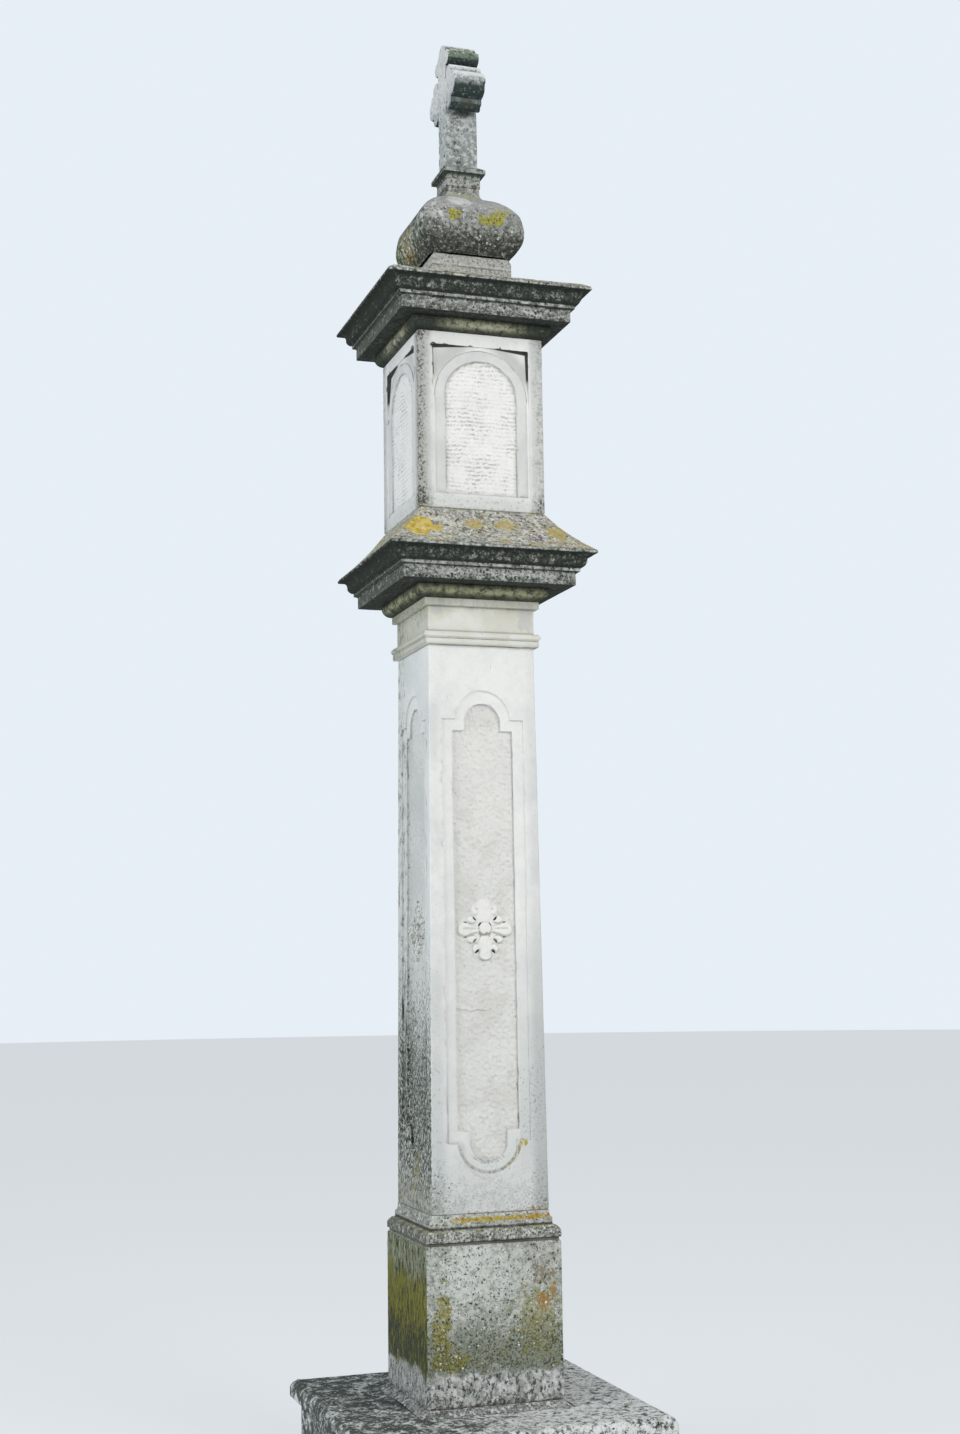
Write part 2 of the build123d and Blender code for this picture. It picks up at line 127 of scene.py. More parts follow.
class Finish:
    """One procedural material; its nodes all come from the same method."""

    def __init__(self, name):
        self.material = bpy.data.materials.new(name)
        self.material.use_nodes = True
        self.nodes = self.material.node_tree.nodes
        self.links = self.material.node_tree.links
        self.nodes.clear()

    def node(self, kind, settings=None, inputs=None, output=0):
        """Adds a node with its settings first, then its values and links; gives one output."""
        made = self.nodes.new(kind)
        for setting, value in (settings or {}).items():
            setattr(made, setting, value)
        for socket, value in (inputs or {}).items():
            if isinstance(value, Wire):
                self.links.new(value.socket, made.inputs[socket])
            else:
                made.inputs[socket].default_value = value
        return Wire(self, made.outputs[output]) if made.outputs else None

    def mix(self, first, second, share):
        """Colour between two colours."""
        first = (*first, 1) if isinstance(first, tuple) else first
        second = (*second, 1) if isinstance(second, tuple) else second
        return self.node("ShaderNodeMix", {"data_type": "RGBA"}, {0: share, 6: first, 7: second}, 2)


# Stage: a plain pale floor and a pale surround, lit by one broad lamp on the right and another
# on the left, so that the left face lies only a little darker than the front.
floor_finish = Finish("pale_floor")
floor_shade = floor_finish.node("ShaderNodeBsdfPrincipled",
                                inputs={"Base Color": (0.86, 0.87, 0.88, 1), "Roughness": 1.0,
                                        "Specular IOR Level": 0.0})
floor_glow = floor_finish.node("ShaderNodeEmission", inputs={"Color": (0.80, 0.84, 0.88, 1)})
seen_directly = floor_finish.node("ShaderNodeLightPath") * 0.65
floor_look = floor_finish.node("ShaderNodeMixShader",
                               inputs={0: seen_directly, 1: floor_shade, 2: floor_glow})
floor_finish.node("ShaderNodeOutputMaterial", inputs={"Surface": floor_look})
floor_shape = bmesh.new()
bmesh.ops.create_circle(floor_shape, cap_ends=True, segments=96, radius=40)
floor_mesh = bpy.data.meshes.new("floor")
floor_shape.to_mesh(floor_mesh)
floor_shape.free()
floor_mesh.materials.append(floor_finish.material)
floor = bpy.data.objects.new("floor", floor_mesh)
scene.collection.objects.link(floor)

world = bpy.data.worlds.new("surround")
world.use_nodes = True
scene.world = world
ambient = world.node_tree.nodes["Background"]
ambient.inputs["Color"].default_value = (0.88, 0.94, 1.0, 1)
ambient.inputs["Strength"].default_value = 0.50
seen = world.node_tree.nodes.new("ShaderNodeBackground")
seen.inputs["Color"].default_value = (0.80, 0.86, 0.92, 1)
seen.inputs["Strength"].default_value = 1.0
ray = world.node_tree.nodes.new("ShaderNodeLightPath")
choose = world.node_tree.nodes.new("ShaderNodeMixShader")
sky = world.node_tree.nodes["World Output"].inputs["Surface"]
for source, target in ((ray.outputs["Is Camera Ray"], choose.inputs[0]),
                       (ambient.outputs[0], choose.inputs[1]),
                       (seen.outputs[0], choose.inputs[2]), (choose.outputs[0], sky)):
    world.node_tree.links.new(source, target)
COLUMN_MIDDLE = (0, 0, 2.3)


def hang_lamp(name, place, width, power, colour):
    """Broad square lamp that points at the middle of the column."""
    data = bpy.data.lights.new(name, "AREA")
    data.size = width
    data.energy = power
    data.color = colour
    lamp = bpy.data.objects.new(name, data)
    lamp.location = place
    lamp.rotation_euler = (Vector(COLUMN_MIDDLE) - Vector(place)).to_track_quat("-Z", "Y").to_euler()
    scene.collection.objects.link(lamp)


hang_lamp("key_lamp", (3.2, -7.0, 6.0), 4.0, 355, (1.0, 0.97, 0.92))
hang_lamp("fill_lamp", (-7.0, -2.0, 4.0), 5.0, 290, (0.95, 0.98, 1.0))


# Base course: a plain course of rough stone under the slab, set in the ground. Most of it lies
# below the picture's edge, so its finish repeats the slab's.
COURSES = ("base_riser", "base_slab", "mortar_bed", "die", "die_joint", "base_torus", "base_cove", "shaft",
           "astragal", "neck", "neck_fillet", "lower_ovolo", "lower_corona", "lower_cyma", "lower_weathering",
           "panel_block", "upper_ovolo", "upper_corona", "upper_cyma", "upper_weathering", "finial_plinth",
           "finial_onion", "finial_neck", "finial_cap", "cross")
SHARP = math.radians(28)
CREASE = math.radians(50)
SAME_LEVEL = 0.0003
SEAT_MARGIN = 0.0008
TURN_SEEN, TURN_FULL = 0.3, 0.9
FADE = 0.55
ORDER = Vector((1.0, 13.7, 191.3))


def find_seats(node):
    """Levels where a stone meets the ones under and over it, with the half-width of each contact."""
    place = COURSES.index(node)
    low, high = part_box(node)
    seats = []
    for level, other in ((low[2], place - 1), (high[2], place + 1)):
        if 0 <= other < len(COURSES):
            corners = [corner.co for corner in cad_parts[COURSES[other]].data.vertices]
            seats.append((level, max(corner.x for corner in corners if abs(corner.z - level) < SAME_LEVEL)))
    return seats


def is_seated(point, seats):
    """True where a point lies in the contact of two stones."""
    return any(abs(point.z - level) < SAME_LEVEL and max(abs(point.x), abs(point.y)) < half + SEAT_MARGIN
               for level, half in seats)


def is_corner(rib):
    """True for an edge that lies over a diagonal of the column, away from its axis."""
    return all(abs(abs(end.co.x) - abs(end.co.y)) < 0.0005 and abs(end.co.x) > 0.05 for end in rib.verts)


def round_ribs(shape, ribs, width, steps):
    """Rounds those of some edges that are sharp."""
    sharp = [rib for rib in ribs if rib.calc_face_angle(0.0) > SHARP]
    bmesh.ops.bevel(shape, geom=sharp, offset=width, offset_type="OFFSET", segments=steps, profile=0.5,
                    affect="EDGES", material=-1, clamp_overlap=True)


def cut_stone(node, spacing, arris, edge):
    """Merged copy of a stone with its upright corners and other edges rounded, under a net of small
    faces; edges that lie on the next stone stay sharp, because no joint shows there."""
    shape = bmesh.new()
    shape.from_mesh(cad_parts[node].data)
    bmesh.ops.remove_doubles(shape, verts=shape.verts, dist=0.00002)
    bmesh.ops.dissolve_limit(shape, angle_limit=math.radians(1.5), verts=shape.verts, edges=shape.edges)
    round_ribs(shape, [rib for rib in shape.edges if is_corner(rib)], arris, 3)
    seats = find_seats(node)
    free = [rib for rib in shape.edges if not all(is_seated(end.co, seats) for end in rib.verts)]
    round_ribs(shape, free, edge, 2)
    lay_net(shape, spacing)
    return shape


def put_in_order(shape):
    """Lists a shape's corners, edges and faces by their place along one skew direction, because
    extruding leaves them in another order at each run."""
    shape.verts.sort(key=lambda corner: corner.co.dot(ORDER))
    shape.edges.sort(key=lambda rib: (rib.verts[0].co + rib.verts[1].co).dot(ORDER))
    shape.faces.sort(key=lambda side: side.calc_center_median().dot(ORDER))


def lay_net(shape, spacing, extruded=False):
    """Cuts a shape into small faces along level planes in three directions. An extruded shape is
    put in order each time, so that every run cuts it alike."""
    for axis in range(3):
        if extruded:
            put_in_order(shape)
        places = [corner.co[axis] for corner in shape.verts]
        low, high = min(places), max(places)
        steps = max(1, round((high - low) / spacing))
        levels = [low + (high - low) * step / steps for step in range(1, steps)]
        cut_between(shape, shape.faces[:], axis, levels)
    if extruded:
        put_in_order(shape)


def cut_between(shape, sides, axis, levels):
    """Cuts faces at the middle one of some levels, then each half at the levels on its own side."""
    if not levels or not sides:
        return
    middle = len(levels) // 2
    direction = Vector([float(axis == side) for side in range(3)])
    ribs = dict.fromkeys(rib for side in sides for rib in side.edges)
    corners = dict.fromkeys(corner for side in sides for corner in side.verts)
    cut = bmesh.ops.bisect_plane(shape, geom=[*corners, *ribs, *sides], dist=0.00001,
                                 plane_co=direction * levels[middle], plane_no=direction)["geom"]
    sides = [part for part in cut if isinstance(part, bmesh.types.BMFace)]
    over = [side.calc_center_median()[axis] > levels[middle] for side in sides]
    cut_between(shape, [side for side, is_over in zip(sides, over) if not is_over], axis, levels[:middle])
    cut_between(shape, [side for side, is_over in zip(sides, over) if is_over], axis, levels[middle + 1:])


def weather(shape, node, dent, chip):
    """Sinks the faces unevenly, breaks small chips out of the arrises, and notes at each point
    how far it lies on an arris (up to 1) or in a hollow corner (down to -1)."""
    seats = find_seats(node)
    shape.normal_update()
    bend = shape.verts.layers.float.new("bend")
    sharpness = {}
    for corner in shape.verts:
        turns = [rib.calc_face_angle_signed(0.0) for rib in corner.link_edges]
        turn = sum(each for each in turns if abs(each) > TURN_SEEN) / TURN_FULL
        sharpness[corner] = 0.0 if is_seated(corner.co, seats) else max(-1.0, min(1.0, turn))
    for fading in range(2):
        reached = dict(sharpness)
        for corner in shape.verts:
            near = max((sharpness[rib.other_vert(corner)] for rib in corner.link_edges), key=abs)
            if abs(near) * FADE > abs(reached[corner]):
                reached[corner] = near * FADE
        sharpness = reached
    for corner in shape.verts:
        corner[bend] = sharpness[corner]
        spot = corner.co + Vector((3.17, 5.71, 1.13))
        sink = dent * (0.35 + 0.35 * noise.noise(spot * 6.0) + 0.3 * noise.noise(spot * 29.0))
        bite = noise.noise(spot * 24.0) + 0.7 * noise.noise(spot * 71.0)
        sink += max(0.0, sharpness[corner]) * chip * (0.15 + max(0.0, bite - 0.1) * 1.5)
        way = corner.normal.copy()
        if is_seated(corner.co, seats):
            way.z = 0.0
            way.normalize()
        corner.co -= way * max(0.0, sink)
    mark_creases(shape)


def mark_creases(shape):
    """Keeps the sharper edges of a smooth shape as creases."""
    shape.normal_update()
    for rib in shape.edges:
        rib.smooth = rib.calc_face_angle(0.0) < CREASE


def lay_stone(shape, node, finish):
    """Sets a finished stone in the place of its plain one."""
    mesh = bpy.data.meshes.new(node + "_stone")
    for side in shape.faces:
        side.smooth = True
    shape.to_mesh(mesh)
    shape.free()
    mesh.materials.append(finish.material)
    piece = bpy.data.objects.new(node + "_stone", mesh)
    scene.collection.objects.link(piece)
    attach(piece, "root")
    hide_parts(node)


def lay_course(node, finish, spacing, arris, edge, dent, chip):
    """Cuts one stone, weathers it and sets it in its place."""
    course = cut_stone(node, spacing, arris, edge)
    weather(course, node, dent, chip)
    lay_stone(course, node, finish)


class StoneFinish(Finish):
    """Weathered stone: a mottled body colour under layers of growth, crust and stain."""

    def __init__(self, name, pale, shade):
        super().__init__(name)
        self.layers = 0
        self.place = self.node("ShaderNodeTexCoord", output="Object")
        self.x, self.y, self.z = self.split(self.place)
        self.right, self.back, self.up = self.split(self.node("ShaderNodeNewGeometry", output="Normal"))
        self.left = (self.right * -1).rise(0.3, 0.8)
        self.across = self.x.size().least(self.y.size())
        self.reach = self.x.size().most(self.y.size())
        bend = self.node("ShaderNodeAttribute", {"attribute_name": "bend"}, output="Fac")
        self.arris = bend.rise(0.15, 0.9)
        self.hollow = bend.rise(-0.15, -0.9)
        tone = (self.noise(6) * 0.55 + self.noise(38, detail=3) * 0.3 + self.noise(190, detail=2) * 0.15)
        self.colour = self.mix(shade, pale, tone.rise(0.38, 0.60))
        self.height = self.noise(900, detail=2) * 0.15 + self.noise(170) * 0.6 + self.noise(50) * 0.5

    def split(self, value):
        """The three parts of a vector."""
        outputs = self.node("ShaderNodeSeparateXYZ", inputs={0: value}).socket.node.outputs
        return [Wire(self, part) for part in outputs]

    def spread(self, upright=1.0, level=1.0):
        """Coordinates for one more layer, moved so that no two layers share their pattern. An
        upright scale under 1 draws the pattern out into runs."""
        self.layers += 1
        shift = self.layers * 1.37
        return self.node("ShaderNodeMapping", inputs={"Vector": self.place, "Scale": (level, level, upright),
                                                      "Location": (shift, -0.7 * shift, 0.4 * shift)})

    def noise(self, scale, detail=4, rough=0.55, upright=1.0, level=1.0):
        """Cloud pattern with features of about one over the scale, in metres."""
        return self.node("ShaderNodeTexNoise", inputs={"Vector": self.spread(upright, level), "Scale": scale,
                                                       "Detail": detail, "Roughness": rough})

    def cover(self, colour, mask, lift):
        """Lays a colour over what is there, as thick as lift says."""
        self.stain(colour, mask)
        if lift:
            self.height = self.height + mask * lift

    def growth(self, colour, cover, grain, edge=0.05, lift=0.0, detail=6, rough=0.72, upright=1.0,
               strength=1.0):
        """Ragged growth in blotches of one size that covers a share of the surface, from 0 to 1."""
        blotch = self.noise(1 / grain, detail=detail, rough=rough, upright=upright)
        mask = (blotch + (cover - 0.5) * 0.5).rise(0.5 - edge, 0.5 + edge)
        self.cover(colour, mask * strength, lift)

    def specks(self, colour, pitch, share, lift=0.0, strength=1.0):
        """Round spots of mixed sizes, one for a share of the cells of a net of one pitch."""
        place = self.spread()
        wander = self.node("ShaderNodeTexNoise", output="Color",
                           inputs={"Vector": place, "Scale": 1.6 / pitch, "Detail": 2.0})
        wander = self.vector("SCALE", wander, pitch * 1.1, "Scale")
        place = self.vector("ADD", place, wander)
        cells = self.node("ShaderNodeTexVoronoi", inputs={"Vector": place, "Scale": 1 / pitch}).socket.node
        pick = self.split(Wire(self, cells.outputs["Color"]))[0]
        reach = ((pick + share - 1.0) * 1.1).least(0.46)
        mask = (reach - Wire(self, cells.outputs["Distance"])).rise(-0.07, 0.07)
        self.cover(colour, mask * strength, lift)

    def vector(self, operation, first, second, socket=1):
        """Vector sum, difference, quotient or multiple."""
        return self.node("ShaderNodeVectorMath", {"operation": operation}, {0: first, socket: second})

    def patch(self, middle, radii, ragged=0.9):
        """Ragged patch round one place: 1 inside it and 0 outside."""
        offset = self.vector("DIVIDE", self.vector("SUBTRACT", self.place, middle), radii)
        far = self.node("ShaderNodeVectorMath", {"operation": "LENGTH"}, {0: offset}, output="Value")
        return (1.0 - far + (self.noise(30) - 0.5) * ragged * 2).rise(0.0, 0.35)

    def patches(self, ragged, *places):
        """Ragged patches round several places, each with its middle and radii."""
        return functools.reduce(Wire.most, [self.patch(middle, radii, ragged) for middle, radii in places])

    def stain(self, colour, share):
        """Soft stain that tints what lies under it."""
        self.colour = self.mix(self.colour, colour, share)

    def close(self, depth):
        """Ends the finish with its relief, depth in metres."""
        relief = self.node("ShaderNodeBump",
                           inputs={"Strength": 1.0, "Distance": depth, "Height": self.height})
        surface = self.node("ShaderNodeBsdfPrincipled",
                            inputs={"Base Color": self.colour, "Roughness": 0.92,
                                    "Specular IOR Level": 0.2, "Normal": relief})
        self.node("ShaderNodeOutputMaterial", inputs={"Surface": surface})


# Near-black, used both for soot and for painted shade on faces that look down.
SOOT_AND_SHADE = (0.022, 0.028, 0.022)
DARK = (0.062, 0.072, 0.058)

stone = StoneFinish("slab_stone", (0.46, 0.47, 0.46), (0.30, 0.31, 0.30))
sun_side = stone.x.rise(-0.30, 0.25)
stone.growth((0.07, 0.085, 0.075), 0.64 - sun_side * 0.28, 0.060, edge=0.06)
stone.growth((0.68, 0.695, 0.68), 0.43 + sun_side * 0.33, 0.045, edge=0.06, lift=0.5)
stone.growth((0.07, 0.08, 0.07), 0.44 - sun_side * 0.05, 0.016, edge=0.06)
stone.growth((0.72, 0.73, 0.72), sun_side * 0.48, 0.024, edge=0.08)
stone.growth((0.055, 0.06, 0.055), sun_side * 0.40, 0.030, rough=0.8)
stone.specks(SOOT_AND_SHADE, 0.013, 0.34 - sun_side * 0.08)
stone.specks((0.74, 0.75, 0.73), 0.012, 0.34, lift=0.3)
stone.close(depth=0.004)
lay_course("base_riser", stone, spacing=0.020, arris=0.010, edge=0.006, dent=0.0025, chip=0.010)

# Slab: one flat square stone with a rounded nosing, bedded on the course below. It is black
# with lichen on the left and bleached on the right.
lay_course("base_slab", stone, spacing=0.0125, arris=0.012, edge=0.007, dent=0.0030, chip=0.010)

# Mortar bed: lime mortar spread round the foot of the die by trowel, now crumbling and grown
# over with a pale crust.
stone = StoneFinish("crumbled_mortar", (0.48, 0.49, 0.47), (0.32, 0.33, 0.31))
stone.growth((0.11, 0.12, 0.10), 0.46 - stone.x.rise(-0.2, 0.2) * 0.2, 0.022, edge=0.08)
stone.growth((0.64, 0.65, 0.64), 0.50, 0.014, lift=0.8)
stone.growth((0.09, 0.095, 0.085), 0.38, 0.007)
stone.close(depth=0.006)
lay_course("mortar_bed", stone, spacing=0.008, arris=0.006, edge=0.004, dent=0.005, chip=0.012)

# Die: a plain square block of grey stone with round dark specks. Algae colour its left face olive,
# two mustard patches grow low on the front, and a pale crust climbs from the ground.
_, DIE_FRONT, DIE_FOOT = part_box("die")[0]
stone = StoneFinish("die_stone", (0.62, 0.635, 0.595), (0.42, 0.44, 0.405))
left, off_left = stone.left, 1 - stone.left
ragged_level = stone.z + (stone.noise(14, detail=6, rough=0.7) - 0.5) * 0.15
foot_crust = ragged_level.rise(DIE_FOOT + 0.117, DIE_FOOT + 0.082)
dark_belt = ragged_level.rise(DIE_FOOT + 0.292, DIE_FOOT + 0.152) * (1 - foot_crust)
left_over_crust = left * (1 - foot_crust)
olive_left = ragged_level.belt(DIE_FOOT + 0.062, DIE_FOOT + 0.132, DIE_FOOT + 0.312, DIE_FOOT + 0.452) * left
front_patches = stone.patches(1.2, ((-0.170, DIE_FRONT, DIE_FOOT + 0.212), (0.038, 0.05, 0.150)),
                              ((-0.145, DIE_FRONT, DIE_FOOT + 0.137), (0.065, 0.05, 0.045)))
right_patch = stone.patch((0.140, DIE_FRONT, DIE_FOOT + 0.247), (0.085, 0.05, 0.125), 1.4) * 0.75
front_patches = front_patches.most(right_patch).most(dark_belt * 0.42 * off_left)
wandering = stone.noise(5, detail=3).rise(0.50, 0.66) * stone.back.rise(-0.5, 0.1) * off_left
olive = front_patches.most(wandering * 0.6)
stone.stain((0.13, 0.155, 0.115), dark_belt * 0.55)
clean = stone.patch((-0.040, DIE_FRONT, DIE_FOOT + 0.387), (0.170, 0.05, 0.110), 0.8)
stone.stain((0.66, 0.68, 0.65), clean * 0.40)
stone.growth((0.22, 0.24, 0.195), 0.44 - clean * 0.10 + dark_belt * 0.12, 0.017, edge=0.13, rough=0.8)
stone.growth((0.22, 0.20, 0.035), olive * 0.74 - 0.03, 0.022, edge=0.20, detail=8, rough=0.85, strength=0.85)
stone.growth((0.30, 0.26, 0.02), olive * 0.52 - 0.10, 0.012, edge=0.12, rough=0.8)
stone.growth((0.10, 0.10, 0.03), olive * 0.38, 0.008)
stone.growth((0.46, 0.46, 0.36), olive * 0.34, 0.008)
orange = stone.patches(1.0, ((0.154, DIE_FRONT, DIE_FOOT + 0.302), (0.026, 0.05, 0.030)),
                       ((0.188, DIE_FRONT, DIE_FOOT + 0.324), (0.013, 0.05, 0.038)))
stone.growth((0.38, 0.19, 0.03), orange * 0.56, 0.010, edge=0.08, strength=0.9)
rusty = stone.patch((0.165, DIE_FRONT, DIE_FOOT + 0.382), (0.050, 0.05, 0.060), 1.2)
stone.growth((0.26, 0.21, 0.15), rusty * 0.50, 0.010)
stone.stain((0.14, 0.152, 0.078), left_over_crust * 0.82)
stone.growth((0.31, 0.33, 0.22), left_over_crust * 0.45, 0.012, edge=0.08, upright=0.4)
stone.growth((0.150, 0.145, 0.018), olive_left * 0.88, 0.040, edge=0.16, rough=0.8, strength=0.95)
stone.growth((0.24, 0.22, 0.03), olive_left * 0.40, 0.012, edge=0.08, upright=0.5)
stone.growth((0.035, 0.04, 0.022), left_over_crust * 0.42 + dark_belt * 0.20, 0.011, upright=0.3)
stone.growth((0.07, 0.085, 0.06), 0.32 + dark_belt * 0.12, 0.0062)
stone.specks((0.045, 0.055, 0.04), 0.0095, 0.44 - foot_crust * 0.2 - clean * 0.08, strength=0.9)
stone.specks((0.05, 0.06, 0.045), 0.0150, 0.26 - foot_crust * 0.1)
stone.specks((0.78, 0.79, 0.75), 0.0100, 0.26 - left * 0.12, lift=0.3)
stone.stain((0.24, 0.26, 0.24), foot_crust * 0.45)
stone.growth((0.70, 0.71, 0.70), foot_crust * 0.58 - left * foot_crust * 0.08, 0.026, edge=0.13, lift=0.6,
             rough=0.8, upright=0.7)
stone.growth((0.07, 0.08, 0.07), foot_crust * 0.43, 0.012, rough=0.8, upright=0.7)
stone.growth((0.12, 0.11, 0.085), stone.z.rise(DIE_FOOT + 0.047, DIE_FOOT + 0.007) * 0.46, 0.014, edge=0.10)
stone.stain((0.58, 0.60, 0.58), stone.arris * 0.5)
stone.close(depth=0.004)
lay_course("die", stone, spacing=0.009, arris=0.006, edge=0.003, dent=0.0018, chip=0.006)

# Joint over the die: a thin bed of mortar, washed back and dark.
stone = StoneFinish("washed_joint", (0.17, 0.175, 0.16), (0.09, 0.095, 0.08))
stone.specks((0.3, 0.31, 0.28), 0.012, 0.18)
stone.close(depth=0.004)
lay_course("die_joint", stone, spacing=0.010, arris=0.002, edge=0.001, dent=0.0020, chip=0.0)

# Base moulding: a roll, a fillet and a hollow cut in one course. Lichen sits on every ledge, and
# a mustard line of it follows the foot of the shaft on the front.
ROLL_FOOT, FILLET_FOOT = (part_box(node)[0][2] for node in ("base_torus", "base_cove"))
stone = StoneFinish("base_moulding_stone", (0.56, 0.575, 0.54), (0.38, 0.395, 0.36))
x, z, left = stone.x, stone.z, stone.left
in_hollow = z.rise(FILLET_FOOT + 0.008, FILLET_FOOT + 0.020)
stone.stain((0.52, 0.53, 0.50), in_hollow * (0.60 - left * 0.40))
stone.growth((0.13, 0.14, 0.105), 0.54 + left * 0.14 - in_hollow * 0.16, 0.026, edge=0.14)
# Painted shade on the faces of the roll that look down, which also keeps the pale crust off them.
shade_under_roll = stone.up.rise(0.15, -0.45) * (1 - in_hollow)
stone.stain((0.13, 0.135, 0.10), shade_under_roll * 0.62)
stone.growth((0.64, 0.65, 0.62), 0.44 - left * 0.12 - shade_under_roll * 0.14, 0.020, edge=0.12, lift=0.3)
stone.growth((0.06, 0.07, 0.055), 0.42 - in_hollow * 0.06, 0.0085)
stone.specks(DARK, 0.0095, 0.36)
stone.specks((0.74, 0.75, 0.71), 0.010, 0.32, lift=0.3)
fillet_line = z.belt(FILLET_FOOT + 0.0065, FILLET_FOOT + 0.0080, FILLET_FOOT + 0.0120, FILLET_FOOT + 0.0135)
stone.stain((0.50, 0.50, 0.46), fillet_line * 0.45)
# Painted shade in the groove between fillet and roll, and at the foot of the roll the dark joint line
# deepened by painted shade.
groove_shade = z.belt(FILLET_FOOT - 0.0025, FILLET_FOOT - 0.0005, FILLET_FOOT + 0.0045, FILLET_FOOT + 0.0065)
stone.stain((0.05, 0.055, 0.04), (groove_shade * 0.7).most(z.rise(ROLL_FOOT + 0.006, ROLL_FOOT) * 0.5))
stone.growth((0.34, 0.30, 0.13), stone.up.rise(0.25, 0.85) * 0.34 + 0.04, 0.02, edge=0.08)
ragged_level = z + (stone.noise(45, detail=5, rough=0.7) - 0.5) * 0.026
mustard_line = ragged_level.belt(FILLET_FOOT + 0.0145, FILLET_FOOT + 0.020,
                                 FILLET_FOOT + 0.028, FILLET_FOOT + 0.040)
mustard_line = mustard_line * stone.back.rise(0.2, -0.1) * x.rise(-0.20, -0.09)
stone.growth((0.34, 0.27, 0.03), mustard_line * 0.56, 0.014, edge=0.10)
stone.growth((0.48, 0.38, 0.03), mustard_line * 0.40, 0.010, edge=0.06)
stone.growth((0.36, 0.14, 0.025), mustard_line * (0.36 + x.rise(0.05, 0.12) * 0.10), 0.014, edge=0.06)
stone.specks((0.70, 0.70, 0.62), 0.010, mustard_line * 0.26)
stone.close(depth=0.004)
for node in ("base_torus", "base_cove"):
    lay_course(node, stone, spacing=0.008, arris=0.003, edge=0.002, dent=0.0018, chip=0.006)

# Shaft: one tall squared stone with a smooth sunk band and a deeper hammered field on each face.
# Rain keeps the upper part pale; lichen darkens its foot and runs in streaks down the left face.
PALE = (0.845, 0.838, 0.812)
PALE_SHADE = (0.765, 0.765, 0.745)
SHAFT_FOOT, SHAFT_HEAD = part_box("shaft")[0][2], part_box("shaft")[1][2]
SHAFT_FOOT_HALF, SHAFT_HEAD_HALF = 0.191, 0.178
TAPER = (SHAFT_FOOT_HALF - SHAFT_HEAD_HALF) / (SHAFT_HEAD - SHAFT_FOOT)
FIELD_DEPTH, FIELD_HALF = 0.016, 0.097
HAMMER_MARK, DEEPEST_MARK = 0.0036, 0.0032
BAND_FOOT = SHAFT_FOOT + 0.223


def shaft_half(level):
    """Half-width of the tapering shaft at a level, as a number or as a value in a finish."""
    return SHAFT_FOOT_HALF - (level - SHAFT_FOOT) * TAPER


stone = StoneFinish("shaft_stone", PALE, PALE_SHADE)
x, y, z, across = stone.x, stone.y, stone.z, stone.across
on_left = (x * -1 - y.size()).rise(-0.004, 0.004)
off_left = 1 - on_left
front = stone.back.rise(-0.2, -0.6)
near_front = stone.back.rise(0.2, -0.1)
field = (shaft_half(z) - stone.reach).rise(0.0115, 0.0135) * across.rise(0.104, 0.099)
low_down = z.rise(SHAFT_FOOT + 1.048, SHAFT_FOOT + 0.148)
near_foot = z.rise(SHAFT_FOOT + 0.248, SHAFT_FOOT + 0.018)
stile = across.rise(0.13, 0.165) * off_left
left_foot = stile * x.rise(-0.10, -0.18) * low_down * near_foot
foot_edge = near_foot * x.size().rise(0.05, 0.19)
cloudy = stone.noise(5).rise(0.42, 0.64)
greyed = 0.11 + low_down * 0.28 + low_down * stile * 0.40 + near_foot * 0.20
stone.stain((0.52, 0.545, 0.54), greyed * (1 - field * 0.6))
stone.stain((0.56, 0.58, 0.575), cloudy * (0.08 + stile * 0.45 + low_down * 0.12) + stile * low_down * 0.2)
stone.stain((0.42, 0.44, 0.435), stile * x.rise(0.08, 0.17) * (0.14 + low_down * 0.56))
stone.stain((0.86, 0.84, 0.78), field * 0.40)
stone.stain((0.62, 0.60, 0.55), stone.noise(9).rise(0.50, 0.64) * field * 0.30)

stone.stain((0.56, 0.59, 0.575), on_left * (low_down * 0.24 + 0.42 + cloudy * 0.25))
left_back = on_left * y.rise(-0.02, 0.17)
stone.stain((0.36, 0.385, 0.35), left_back * 0.28)
stone.growth((0.16, 0.18, 0.15), left_back * 0.38, 0.014, edge=0.08, upright=0.5)
streaks = stone.noise(9, detail=3, upright=0.3).rise(0.40, 0.60)
stone.growth((0.24, 0.265, 0.23), on_left * (low_down * 0.56 + streaks * low_down * 0.10 + 0.10), 0.012,
             edge=0.10, upright=0.6)
stone.growth((0.036, 0.043, 0.032), on_left * (low_down * 0.44 + streaks * 0.06 + 0.15), 0.0066, upright=0.60)
runs = z.belt(SHAFT_FOOT + 0.098, SHAFT_FOOT + 0.248, SHAFT_FOOT + 0.698, SHAFT_FOOT + 0.948)
runs = runs * y.size().near(0.125, 0.01, 0.05) * on_left
stone.growth((0.020, 0.024, 0.018), runs * 0.40, 0.016, edge=0.08, upright=0.14)
stone.growth((0.60, 0.62, 0.58), on_left * low_down * 0.42, 0.008, upright=0.6)
stone.growth((0.30, 0.27, 0.10), on_left * near_foot * 0.40, 0.020, edge=0.08)

